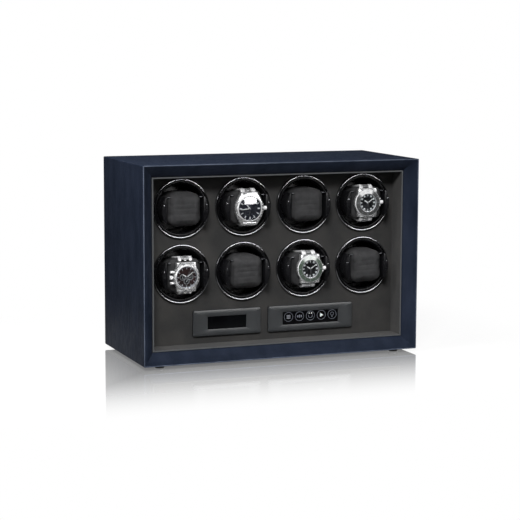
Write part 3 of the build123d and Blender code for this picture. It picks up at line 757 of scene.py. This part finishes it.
# ---------------------------------------------------------------- watches
HEAD_DEPTH = 28.3  # depth behind the cabinet's front of the underside of a watch case
BACK_SINK = 2.2  # its back stands out behind that, into the cushion
CASE_LOW, GLASS_LOW, GLASS_TOP = 0.4, 7.2, 9.5  # heights above HEAD_DEPTH
LOOP_GAP, LINK, LOOP_ROUND = 0.4, 2.6, 5.0
LOOP_START = 0.6  # where the first row of links begins, below the lugs
LOOP_RADIUS = LOOP_ROUND + LINK / 2
LOOP_HALF_DEPTH = cushion_size[1] / MM / 2 + LOOP_GAP + LINK / 2
LOOP_HALF_HEIGHT = cushion_size[2] / MM / 2 + LOOP_GAP + LINK / 2
LOOP_ARC = math.pi * LOOP_RADIUS / 2
FLAT_TOP, FLAT_BACK = 2 * (LOOP_HALF_DEPTH - LOOP_RADIUS), 2 * (LOOP_HALF_HEIGHT - LOOP_RADIUS)
LOOP_LENGTH = 2 * math.pi * LOOP_RADIUS + 2 * FLAT_TOP + FLAT_BACK


def loop_point(way):
    """Depth, height and outward direction at a length along the bracelet's loop, from its top front."""
    lengths = [LOOP_ARC, FLAT_TOP, LOOP_ARC, FLAT_BACK, LOOP_ARC, FLAT_TOP, LOOP_ARC]
    centres = [(-1, 1), (1, 1), (1, -1), (-1, -1)]
    start_angle = [math.pi, math.pi / 2, 0.0, -math.pi / 2]
    for part, length in enumerate(lengths):
        if way <= length or part == len(lengths) - 1:
            cy, cz = centres[part // 2]
            corner = Vector((cy * FLAT_TOP / 2, cz * FLAT_BACK / 2))
            angle = start_angle[part // 2] - (math.pi / 2 if part % 2 else way / LOOP_RADIUS)
            out = Vector((math.cos(angle), math.sin(angle)))
            at = corner + out * LOOP_RADIUS
            if part % 2:
                at += Vector((out.y, -out.x)) * way
            return at, out
        way -= length


def bracelet(shape, n):
    """Rows of bevelled links round the cushion, and a folding clasp at the back."""
    strap, shares = WATCHES[n].strap, WATCHES[n].shares
    centre = middle(f"cushion_{n}") + Vector((WATCHES[n].across * MM, 0, 0))
    run = LOOP_LENGTH - 2 * LOOP_START
    rows = round(run / WATCHES[n].pitch)
    pitch = run / rows
    clasp = range(int(rows * 0.44), int(rows * 0.58))
    for row in range(rows):
        if row in clasp:
            continue
        position = -sum(shares) / 2
        for column, share in enumerate(shares):
            outer = column in (0, len(shares) - 1)
            offset = 0.5 if column % 2 else 0.0
            way = LOOP_START + (row + 0.5 + offset) * pitch
            at, out = loop_point(min(way, LOOP_LENGTH - LOOP_START))
            x = (position + share / 2) * strap
            place = (
                Matrix.Translation(centre + Vector((x, at.x, at.y * narrowing(at.x * MM))) * MM)
                @ Matrix.Rotation(math.atan2(out.y, out.x) - math.pi / 2, 4, "X")
                @ Matrix.Scale(MM, 4)
            )
            size = (share * strap - 0.25, pitch - 0.22, LINK if outer else LINK + 0.25)
            shape.block(size, place, BRIGHT if outer else STEEL, 0.45)
            position += share
    at, out = loop_point(LOOP_LENGTH / 2)
    place = (
        Matrix.Translation(centre + Vector((0, at.x, at.y)) * MM)
        @ Matrix.Rotation(-math.pi / 2, 4, "X")
        @ Matrix.Scale(MM, 4)
    )
    shape.block((strap - 0.6, len(clasp) * pitch + 0.6, LINK + 0.5), place, STEEL, 0.7, 3)


def lug_bend(start, drop):
    """Lets the ends of a case fall away to the bracelet."""

    def bend(co):
        over = max(0.0, abs(co.y) - start)
        return Vector((co.x, co.y, co.z - drop * (over / 6) ** 2))

    return bend


def case_outline(radius, lug_half, lug_reach):
    """A round case that runs out into four lugs."""
    points = []
    start = math.acos(min(1.0, (lug_half + 1.0) / radius))
    angles = [start * k / 8 for k in range(9)]
    for quarter, (sx, sy) in enumerate(((1, 1), (-1, 1), (-1, -1), (1, -1))):
        arc = [(sx * radius * math.cos(a), sy * radius * math.sin(a)) for a in angles]
        lug = [(sx * (lug_half + 0.2), sy * lug_reach), (sx * (lug_half - 4.2), sy * lug_reach)]
        points += arc + lug if quarter in (0, 2) else (arc + lug)[::-1]
    return rounded(points, 0.7, 2)


def baton(shape, place, angle, inner, outer, width, rise, finish, base=0.0):
    middle_radius = (inner + outer) / 2
    at = place @ shifted(turned=-angle) @ shifted(0, middle_radius, base + rise / 2)
    shape.block((width, outer - inner, rise), at, finish, min(width, rise) * 0.2, 1)


def hands(shape, place, radius, z, hour, minute, second):
    """Hour, minute and second hands, at angles in degrees, and their hub."""
    for angle, length, width in ((hour, 0.52, 2.0), (minute, 0.82, 1.6)):
        half, tip = width / 2, radius * length
        shoulder = tip * 0.75
        outline = [(-half, -1.5), (half, -1.5), (half, shoulder), (0, tip), (-half, shoulder)]
        at = place @ shifted(turned=-math.radians(angle))
        shape.plate(outline, z, z + 0.25, at, POLISHED, 0.08, segments=1)
        inlay = [(p[0] * 0.5, p[1] * 0.86 + 1.2) for p in outline]
        shape.plate(inlay, z + 0.24, z + 0.32, at, LUME)
        z += 0.35
    sweep = place @ shifted(turned=-math.radians(second)) @ shifted(0, radius * 0.3, z + 0.1)
    shape.block((0.5, radius * 1.1, 0.15), sweep, POLISHED)
    shape.turn([(0, z - 0.6), (1.3, z - 0.6), (1.3, z + 0.3), (0, z + 0.4)], place, POLISHED, 20)


def crown(shape, place, side, radius, y=0.0, size=3.0, out=5.2, teeth=22):
    """A knurled crown or a pusher on the side of a case."""
    at = place @ shifted(0, y, 4.2) @ Matrix.Rotation(side * math.pi / 2, 4, "Y")
    stem, root, tip = size * 0.55, radius - 1.5, radius + out
    section = [(0, root), (stem, root), (stem, radius + 0.7), (size, radius + 0.9), (size, tip), (0, tip)]
    section = rounded(section, 0.4, 2, closed=False)

    def knurl(angle, reach):
        cut = teeth and reach > size * 0.9 and math.cos(angle * teeth) < 0
        return reach - (0.14 if cut else 0.0)

    shape.turn(section, at, BRIGHT, 88 if teeth else 32, knurl)


def bezel_ring(shape, place, radius, inner, low, high, insert=None, teeth=0):
    """The bezel: a turned ring, coin-edged on a diver, with a lacquered insert and its marks."""

    def coin(angle, reach):
        cut = teeth and reach > radius - 0.8 and math.cos(angle * teeth) < -0.1
        return reach - (0.28 if cut else 0.0)

    slope = min(1.2, (radius - inner) * 0.2)
    flank = [(radius, low), (radius, high - 0.7 - slope), (radius - 0.9, high - slope)]
    lip = [(inner + 0.4, high), (inner, high - 0.3), (inner, low)]
    section = rounded(flank + lip, 0.25, 2)
    shape.turn(section, place, BRIGHT, 240 if teeth else 96, coin)
    if insert:
        edges = ((radius - 1.0, high - slope), (inner + 0.5, high))
        (wide, foot), (narrow, crest) = edges
        face = [(wide, foot - 0.1), (wide, foot + 0.08), (narrow, crest + 0.08), (narrow, crest - 0.1)]
        shape.turn(face, place, insert, 96)
        for mark in range(12):
            inset = 1.5 if mark % 2 else 1.2
            tilt = math.atan2(slope, radius - inner - 1.5)
            lifted = shifted(0, (inner + radius) / 2, high - slope / 2 + 0.12)
            at = place @ shifted(turned=-mark * math.pi / 6) @ lifted
            size = (0.5 if mark % 3 == 0 else 0.3, radius - inner - inset - 2.4, 0.12)
            shape.block(size, at @ shifted(turned=-tilt, axis="X"), INK)


def minute_track(shape, place, radius, z, finish):
    for minute in range(60):
        long = minute % 5 == 0
        inner = radius - (1.1 if long else 0.7)
        baton(shape, place, minute * math.pi / 30, inner, radius, 0.22, 0.06, finish, z)


def watch_diver(shape, place, radius, strap, side, insert):
    """A round case with crown guards, a marked bezel and a black dial with round marks."""
    case = case_outline(radius, strap / 2 + 4.0, radius + 1.2)
    shape.plate(case, CASE_LOW, 6.3, place, STEEL, 0.6, warp=lug_bend(11.5, 0.45))
    bezel_ring(shape, place, radius, radius - 7.2, 6.2, 8.3, insert, 60)
    dial_r = radius - 7.0
    shape.disc(dial_r, 6.0, 6.4, place, DIAL_BLACK)
    wall = [(dial_r, 8.0), (dial_r + 0.4, 8.0), (dial_r + 0.4, 6.3), (dial_r - 0.7, 6.4)]
    shape.turn(wall, place, BRIGHT, 72)
    minute_track(shape, place, dial_r - 0.8, 6.4, LUME)
    for hour in range(12):
        angle = hour * math.pi / 6
        reach = dial_r - 2.7
        if hour == 3:
            shape.block((3.0, 2.4, 0.3), place @ shifted(reach - 0.2, 0, 6.5), LUME, 0.08, 1)
        elif hour in (6, 9):
            baton(shape, place, angle, reach - 1.6, reach + 1.3, 1.5, 0.35, LUME, 6.4)
        elif hour == 0:
            tip = [(-1.3, reach + 1.4), (0, reach - 1.7), (1.3, reach + 1.4)]
            shape.plate(tip, 6.4, 6.75, place, LUME, 0.08, segments=1)
        else:
            x, y = reach * math.sin(angle), reach * math.cos(angle)
            dot = [(0, 6.4), (1.5, 6.4), (1.5, 6.75), (1.3, 6.85), (0, 6.85)]
            shape.turn(dot, place @ shifted(x, y), LUME, 20)
    hands(shape, place, dial_r, 6.9, 304, 54, 182)
    crown(shape, place, side, radius)
    for way in (-1, 1):
        guard = place @ shifted(side * (radius + 0.2), way * 4.8, 3.6)
        shape.block((2.6, 3.4, 4.2), guard, STEEL, 0.8)


def watch_angular(shape, place, radius, strap, side):
    """A broad slab case that tapers to the bracelet, with a thin polished bezel and a large dial."""
    wide, end = radius + 1.8, strap / 2 + 0.6
    tall = radius + 4.6
    outline = [(wide, 6), (wide - 2.5, 12), (end, tall), (-end, tall), (2.5 - wide, 12), (-wide, 6)]
    outline += [(-wide, -6), (2.5 - wide, -12), (-end, -tall), (end, -tall), (wide - 2.5, -12), (wide, -6)]
    bend = lug_bend(10.5, 0.34)
    shape.plate(outline, CASE_LOW, 6.0, place, STEEL, 1.6, warp=bend, segments=3)
    for way in (-1, 1):
        step = oblong(strap - 3, 3.4, 0, way * (tall - 2.4), 0.6, 3)
        shape.plate(step, 4.0, 6.6, place, POLISHED, 0.6, warp=bend)
    dial_r = radius - 2.4
    bezel_ring(shape, place, radius - 0.6, dial_r - 0.2, 5.8, 7.8)
    shape.disc(dial_r, 5.8, 6.3, place, DIAL_BLUE)
    minute_track(shape, place, dial_r - 0.7, 6.3, POLISHED)
    for hour in range(12):
        width, angle = 1.7 if hour % 3 == 0 else 1.2, hour * math.pi / 6
        baton(shape, place, angle, dial_r - 5.8, dial_r - 1.5, width + 0.3, 0.5, BRIGHT, 6.25)
        baton(shape, place, angle, dial_r - 5.4, dial_r - 1.9, width * 0.7, 0.58, LUME, 6.25)
    hands(shape, place, dial_r, 6.8, 318, 264, 185)
    crown(shape, place, side, radius + 1.4)


def watch_chronograph(shape, place, radius, strap, side):
    """A round case with two pushers, and a brown dial with three small ones."""
    case = case_outline(radius, strap / 2 + 3.4, radius + 1.4)
    shape.plate(case, CASE_LOW, 6.1, place, STEEL, 0.7, warp=lug_bend(11.5, 0.45))
    step = [(radius - 0.8, 6.0), (radius - 1.8, 6.6), (radius - 3.0, 6.6), (radius - 3.0, 6.0)]
    shape.turn(rounded(step, 0.2, 2), place, STEEL, 96)
    bezel_ring(shape, place, radius - 2.6, radius - 4.2, 6.0, 8.0)
    dial_r = radius - 4.0
    shape.disc(dial_r, 5.8, 6.2, place, DIAL_BROWN)
    shape.turn([(dial_r - 1.5, 6.2), (dial_r, 6.2), (dial_r, 7.0)], place, POLISHED, 72)
    minute_track(shape, place, dial_r - 1.6, 6.2, LUME)
    for hour in range(12):
        baton(shape, place, hour * math.pi / 6, dial_r - 4.4, dial_r - 1.8, 1.2, 0.4, BRIGHT, 6.2)
    for x, y in ((-6.2, 0), (6.2, 0), (0, -6.2)):
        at = place @ shifted(x, y)
        shape.disc(3.9, 6.1, 6.32, at, DIAL_BLACK, 40)
        shape.turn([(3.9, 6.2), (4.5, 6.2), (4.4, 6.5), (4.0, 6.5)], at, BRIGHT, 40)
        for mark in range(12):
            baton(shape, at, mark * math.pi / 6, 2.6, 3.2, 0.25, 0.05, LUME, 6.32)
        needle = at @ shifted(turned=x * 0.4 - 0.5) @ shifted(0, 0.9, 6.5)
        shape.block((0.45, 3.2, 0.15), needle, LUME)
    hands(shape, place, dial_r, 6.9, 306, 52, 30)
    crown(shape, place, side, radius)
    for y in (-8.2, 8.2):
        crown(shape, place, side, radius - 1.6, y, 2.1, 6.0, 0)


def watch_head(n):
    watch = WATCHES[n]
    radius, strap, side = watch.radius, watch.strap, watch.side
    centre = middle(f"cushion_{n}")
    place = facing(centre.x + watch.across * MM, centre.z - watch.drop * MM, HEAD_DEPTH)
    head = Shape()
    if n == 2:
        watch_angular(head, place, radius, strap, side)
    elif n == 5:
        watch_chronograph(head, place, radius, strap, side)
    else:
        watch_diver(head, place, radius, strap, side, INSERT_GREEN if n == 7 else INSERT_GREY)
    back = [(0, -BACK_SINK), (radius - 4, -BACK_SINK), (radius - 1.5, 0.8), (0, 0.8)]
    head.turn(rounded(back, 0.6, 3, closed=False), place, STEEL, 64)
    glass_r, sag = radius - watch.glass[0], watch.glass[1]
    top = [(glass_r * k / 8, GLASS_TOP - sag * (k / 8) ** 2) for k in range(9)]
    head.turn([*top, (glass_r, GLASS_LOW), (0, GLASS_LOW)], place, CRYSTAL, 72)
    head.piece(f"watch_head_{n}", f"cushion_{n}", (f"watch_{n}",), sharp=32)
    band = Shape()
    bracelet(band, n)
    band.piece(f"bracelet_{n}", f"cushion_{n}", sharp=32)


for n in WATCHES:
    watch_head(n)

# ---------------------------------------------------------------- display and touch keys
BEZEL_FRONT = behind(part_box("display_bezel")[0].y)


def control_plate(name, bezel_node, glass_node):
    """A bevelled plate with a window cut in it, and the black pane in that window."""
    size, glass = extent(bezel_node), extent(glass_node)
    at = middle(bezel_node)
    place = facing(at.x, at.z)
    plate = Shape()
    plate.plate(
        oblong(size.x, size.z, radius=3.2),
        -PANEL_FRONT,
        -BEZEL_FRONT,
        place,
        BEZEL,
        bevel=1.6,
        holes=[oblong(glass.x + 0.2, glass.z + 0.2, radius=0.5, steps=2)],
        hole_bevel=0.3,
        segments=3,
    )
    plate.piece(f"{name}_plate", "cabinet", (bezel_node,))
    front, back = behind(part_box(glass_node)[0].y), behind(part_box(glass_node)[1].y)
    pane = Shape()
    pane.plate(oblong(glass.x, glass.z, radius=0.5, steps=2), -back, -front, place, GLASS_BLACK, 0.25)
    pane.piece(f"{name}_pane", "cabinet", (glass_node,))
    return place, front


control_plate("display", "display_bezel", "display_window")
key_place, key_front = control_plate("key", "keypad_bezel", "keypad_glass")

SIGN_PITCH, SIGN_RING = 18.25, 7.3
SIGN_LOW, SIGN_HIGH = -key_front - 0.05, -key_front + 0.14


def annulus(shape, place, radius, width, finish, start=0.0, end=2 * math.pi):
    """A printed ring, or part of one."""
    inner = radius - width
    if end - start >= 2 * math.pi - 1e-6:
        section = [(inner, SIGN_LOW), (radius, SIGN_LOW), (radius, SIGN_HIGH), (inner, SIGN_HIGH)]
        shape.turn(section, place, finish, 64)
        return
    angles = [start + (end - start) * k / 28 for k in range(29)]
    outline = [(radius * math.cos(a), radius * math.sin(a)) for a in angles]
    outline += [(inner * math.cos(a), inner * math.sin(a)) for a in reversed(angles)]
    shape.plate(outline, SIGN_LOW, SIGN_HIGH, place, finish)


signs = Shape()
for k in range(5):
    place = key_place @ shifted((k - 2) * SIGN_PITCH, 1.8)
    annulus(signs, place, SIGN_RING, 0.6, INK_DIM)
    if k == 0:
        for column in (-1, 0, 1):
            for row in (-1, 0, 1):
                cell = oblong(1.5, 1.5, column * 2.1, row * 2.1, 0.3, 2)
                signs.plate(cell, SIGN_LOW, SIGN_HIGH, place, INK)
    elif k == 1:
        for column, height in ((-1, 3.0), (0, 4.6), (1, 3.8)):
            bar = oblong(2.0, height, column * 3.1, 0, 0.5, 2)
            signs.plate(bar, SIGN_LOW, SIGN_HIGH, place, INK_DIM)
    elif k == 2:
        annulus(signs, place, 3.6, 0.7, INK_DIM, math.radians(-200), math.radians(20))
        for x in (-1.9, 1.9):
            signs.plate(circle(0.85, 16, x, 3.9), SIGN_LOW, SIGN_HIGH, place, LUME)
    elif k == 3:
        arrow = rounded([(-1.8, 3.0), (-1.8, -3.0), (3.4, 0)], 0.5, 2)
        signs.plate(arrow, SIGN_LOW, SIGN_HIGH, place, LUME)
    else:
        annulus(signs, place @ shifted(0, 0.9), 2.9, 0.7, INK_DIM)
        for y, width in ((-2.9, 2.8), (-4.1, 2.0)):
            signs.plate(oblong(width, 0.7, 0, y), SIGN_LOW, SIGN_HIGH, place, INK_DIM)
signs.piece("key_signs", "cabinet")

# ---------------------------------------------------------------- feet and back
FOOT_R, FOOT_LOW, FOOT_HIGH = 8.0, 1.5, 5.0
feet = Shape()
foot_low, foot_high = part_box("feet")
foot = [(0, FOOT_LOW), (FOOT_R - 0.9, FOOT_LOW), (FOOT_R, 2.2), (FOOT_R, FOOT_HIGH), (0, FOOT_HIGH)]
foot = rounded(foot, 0.5, 3, closed=False)
for x in (foot_low.x + FOOT_R * MM, foot_high.x - FOOT_R * MM):
    for y in (foot_low.y + FOOT_R * MM, foot_high.y - FOOT_R * MM):
        feet.turn(foot, Matrix.Translation((x, y, 0)) @ Matrix.Scale(MM, 4), FOOT_METAL, 48)
feet.piece("turned_feet", "cabinet", ("feet",))

# cross-head screws of the back cover, set in their countersinks
heads = Shape()
cross = [(0.35, 0.35), (0.35, 1.5), (-0.35, 1.5), (-0.35, 0.35), (-1.5, 0.35), (-1.5, -0.35)]
cross += [(-0.35, -0.35), (-0.35, -1.5), (0.35, -1.5), (0.35, -0.35), (1.5, -0.35), (1.5, 0.35)]
screw_low, screw_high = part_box("cover_screws")
HEAD_R, SCREW_STEP, SLOT_DEPTH = 3.2, 0.15, 0.7
screw_x = (screw_low.x + HEAD_R * MM, screw_high.x - HEAD_R * MM)
screw_z = (screw_low.z + HEAD_R * MM, screw_high.z - HEAD_R * MM)
screw_places = [(x, z) for x in (-SCREW_STEP, 0.0, SCREW_STEP) for z in screw_z]
screw_places += [(x, sum(screw_z) / 2) for x in screw_x]
for x, z in screw_places:
    turned_back = Matrix.Rotation(-math.pi / 2, 4, "X") @ Matrix.Scale(MM, 4)
    back = Matrix.Translation((x, screw_high.y, z)) @ turned_back
    heads.plate(circle(HEAD_R - 0.1, 40), -SLOT_DEPTH, 0.0, back, SHEET, 0.2, holes=[cross])
    cone = [(0, -SLOT_DEPTH), (HEAD_R - 0.1, -SLOT_DEPTH), (1.5, -2.6), (1.5, -17.0), (0, -18.0)]
    heads.turn(cone, back, SHEET, 40)
heads.piece("cover_screw_heads", "cabinet", ("cover_screws",))

# ---------------------------------------------------------------- finishes of the CAD nodes
NODE_FINISH = {
    "interior_lining": LINING,
    "rotor_panel": PANEL,
    "inner_battens": WOOD,
    "back_cover": BOARD_BLACK,
    "foot_pads": RUBBER,
    "lcd_module": BOARD_BLACK,
    "touch_board": CIRCUIT,
    "chassis_plate": SHEET,
    "chassis_standoffs": ALUMINIUM,
    "chassis_screws": SHEET,
    "spindle_bushes": BRASS,
    "gear_motors": SHEET,
    "drive_belts": RUBBER,
    "control_board": CIRCUIT,
    "board_spacers": NYLON,
    "ribbon_cable": CABLE,
    "dc_jack": BOARD_BLACK,
    **{f"motor_pulley_{k}": NYLON for k in range(1, 5)},
}
for name, finish in NODE_FINISH.items():
    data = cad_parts[name].data
    data.materials.clear()
    data.materials.append(finish.material)

# ---------------------------------------------------------------- studio
FLOOR_REACH = 14.0
DIFFUSE_GLOW = 0.14  # how bright the floor and the room are as plain light sources
CARD_GLOW = 12.0
floor_mesh = bpy.data.meshes.new("floor")
corners = [(x * FLOOR_REACH, y * FLOOR_REACH, 0) for x, y in ((-1, -1), (1, -1), (1, 1), (-1, 1))]
floor_mesh.from_pydata(corners, [], [(0, 1, 2, 3)])
floor = bpy.data.objects.new("floor", floor_mesh)
bpy.context.scene.collection.objects.link(floor)
floor_finish = bpy.data.materials.new("floor_white")
world = bpy.data.worlds.new("studio")
bpy.context.scene.world = world

# the floor: white to the camera, a faint mirror round the cabinet, dimmer as a light source
set_up = cleared(floor_finish)
path = set_up.node("ShaderNodeLightPath")
spot = set_up.node("ShaderNodeSeparateXYZ", (set_up.node("ShaderNodeTexCoord").outputs["Object"],))
beside = set_up.maths("SUBTRACT", set_up.maths("ABSOLUTE", spot.outputs["X"]), cad_high.x)
before = set_up.maths("SUBTRACT", set_up.maths("ABSOLUTE", spot.outputs["Y"]), cad_high.y)
away = set_up.maths("MAXIMUM", beside, before)
glow = set_up.pick(
    path.outputs["Is Camera Ray"],
    set_up.pick(path.outputs["Is Glossy Ray"], DIFFUSE_GLOW, set_up.fade(away, 0.08, 0.34, 0.42, 0.02)),
    1.0,
)
white = set_up.node("ShaderNodeEmission", ((1, 1, 1, 1), glow))
paint = set_up.node("ShaderNodeBsdfDiffuse", ((0.9, 0.9, 0.9, 1),))
mirror = set_up.node("ShaderNodeBsdfGlossy", ((1, 1, 1, 1), 0.0))
shaded = set_up.maths("MULTIPLY", set_up.fade(away, 0.0, 0.3, 0.3, 0.0), path.outputs["Is Camera Ray"])
ground = set_up.node("ShaderNodeMixShader", (shaded, white.outputs[0], paint.outputs[0]))
share = set_up.maths("MULTIPLY", set_up.fade(away, -0.06, 0.29, 0.81, 0.0), path.outputs["Is Camera Ray"])
surface = set_up.node("ShaderNodeMixShader", (share, ground.outputs[0], mirror.outputs[0]))
set_up.node("ShaderNodeOutputMaterial", (surface.outputs[0],))
floor_mesh.materials.append(floor_finish)

# the room: white to the camera and in the floor; in gloss and chrome dark near eye level, with a
# bright card at the right front, a bright wall at the left and a dim glow overhead
room = cleared(world)
path = room.node("ShaderNodeLightPath")
aim = room.node("ShaderNodeSeparateXYZ", (room.node("ShaderNodeTexCoord").outputs["Generated"],))
ahead = room.maths("MAXIMUM", room.maths("MULTIPLY", aim.outputs["Y"], -1.0), 0.001)
slant = room.maths("DIVIDE", aim.outputs["X"], ahead)


def patch(first, second):
    """A bright part of the room: two fades, each (source, start, end, low, high), multiplied."""
    return room.maths("MULTIPLY", room.fade(*first), room.fade(*second))


across, height = aim.outputs["X"], aim.outputs["Z"]
card = room.maths(
    "MULTIPLY",
    patch((slant, 0.1, 0.18, 0.0, 1.0), (slant, 0.68, 0.78, 1.0, 0.0)),
    patch((height, 0.05, 0.08, 0.0, 1.0), (height, 0.28, 0.33, 1.0, 0.0)),
)
overhead = patch((height, 0.4, 0.7, 0.0, 1.1), (aim.outputs["Y"], -0.1, 0.3, 1.0, 0.2))
wall = patch((across, -0.7, -0.86, 0.01, 3.2), (aim.outputs["Y"], 0.1, -0.15, 0.3, 1.0))
lit_card = room.maths("MULTIPLY", card, CARD_GLOW)
mirrored = room.maths("ADD", room.maths("ADD", lit_card, overhead), wall)
seen = room.maths("MAXIMUM", path.outputs["Is Camera Ray"], path.outputs["Is Singular Ray"])
strength = room.pick(seen, room.pick(path.outputs["Is Glossy Ray"], DIFFUSE_GLOW, mirrored), 1.0)
sky = room.node("ShaderNodeBackground", ((1, 1, 1, 1), strength))
room.node("ShaderNodeOutputWorld", (sky.outputs[0],))


def softbox(name, place, aim, size, power):
    light = bpy.data.lights.new(name, "AREA")
    light.shape = "RECTANGLE"
    light.size, light.size_y = size
    light.energy = power
    lamp = bpy.data.objects.new(name, light)
    bpy.context.scene.collection.objects.link(lamp)
    lamp.location = place
    lamp.rotation_euler = (Vector(aim) - Vector(place)).to_track_quat("-Z", "Y").to_euler()
    lamp.visible_glossy = False


softbox("key", (-0.9, -2.1, 1.8), (0, -0.05, 0.16), (0.8, 0.6), 74)
softbox("near", (-0.5, -0.24, 0.78), (-0.1, -0.05, 0.25), (0.25, 0.25), 5.0)
softbox("fill", (1.5, -1.6, 1.1), (0, -0.05, 0.18), (0.4, 0.8), 6)
softbox("rear", (0.8, 2.1, 1.2), (0, 0.1, 0.15), (0.9, 0.8), 30)

# ---------------------------------------------------------------- camera
YAW, PITCH, ROLL = 0.37533, -0.13453, 0.00357
CAMERA_AT = (-0.93466, -2.37201, 0.48579)
LENS, SENSOR = 114.73, 36.0
forward = Vector((math.sin(YAW) * math.cos(PITCH), math.cos(YAW) * math.cos(PITCH), math.sin(PITCH)))
right = Vector((math.cos(YAW), -math.sin(YAW), 0))
up = right.cross(forward)
right, up = (
    right * math.cos(ROLL) + up * math.sin(ROLL),
    -right * math.sin(ROLL) + up * math.cos(ROLL),
)
camera_data = bpy.data.cameras.new("camera")
camera_data.sensor_width = SENSOR
camera_data.lens = LENS
camera = bpy.data.objects.new("camera", camera_data)
bpy.context.scene.collection.objects.link(camera)
aimed = Matrix((right, up, -forward)).transposed().to_4x4()
camera.matrix_world = Matrix.Translation(CAMERA_AT) @ aimed
bpy.context.scene.camera = camera
bpy.context.scene.view_settings.view_transform = "Standard"
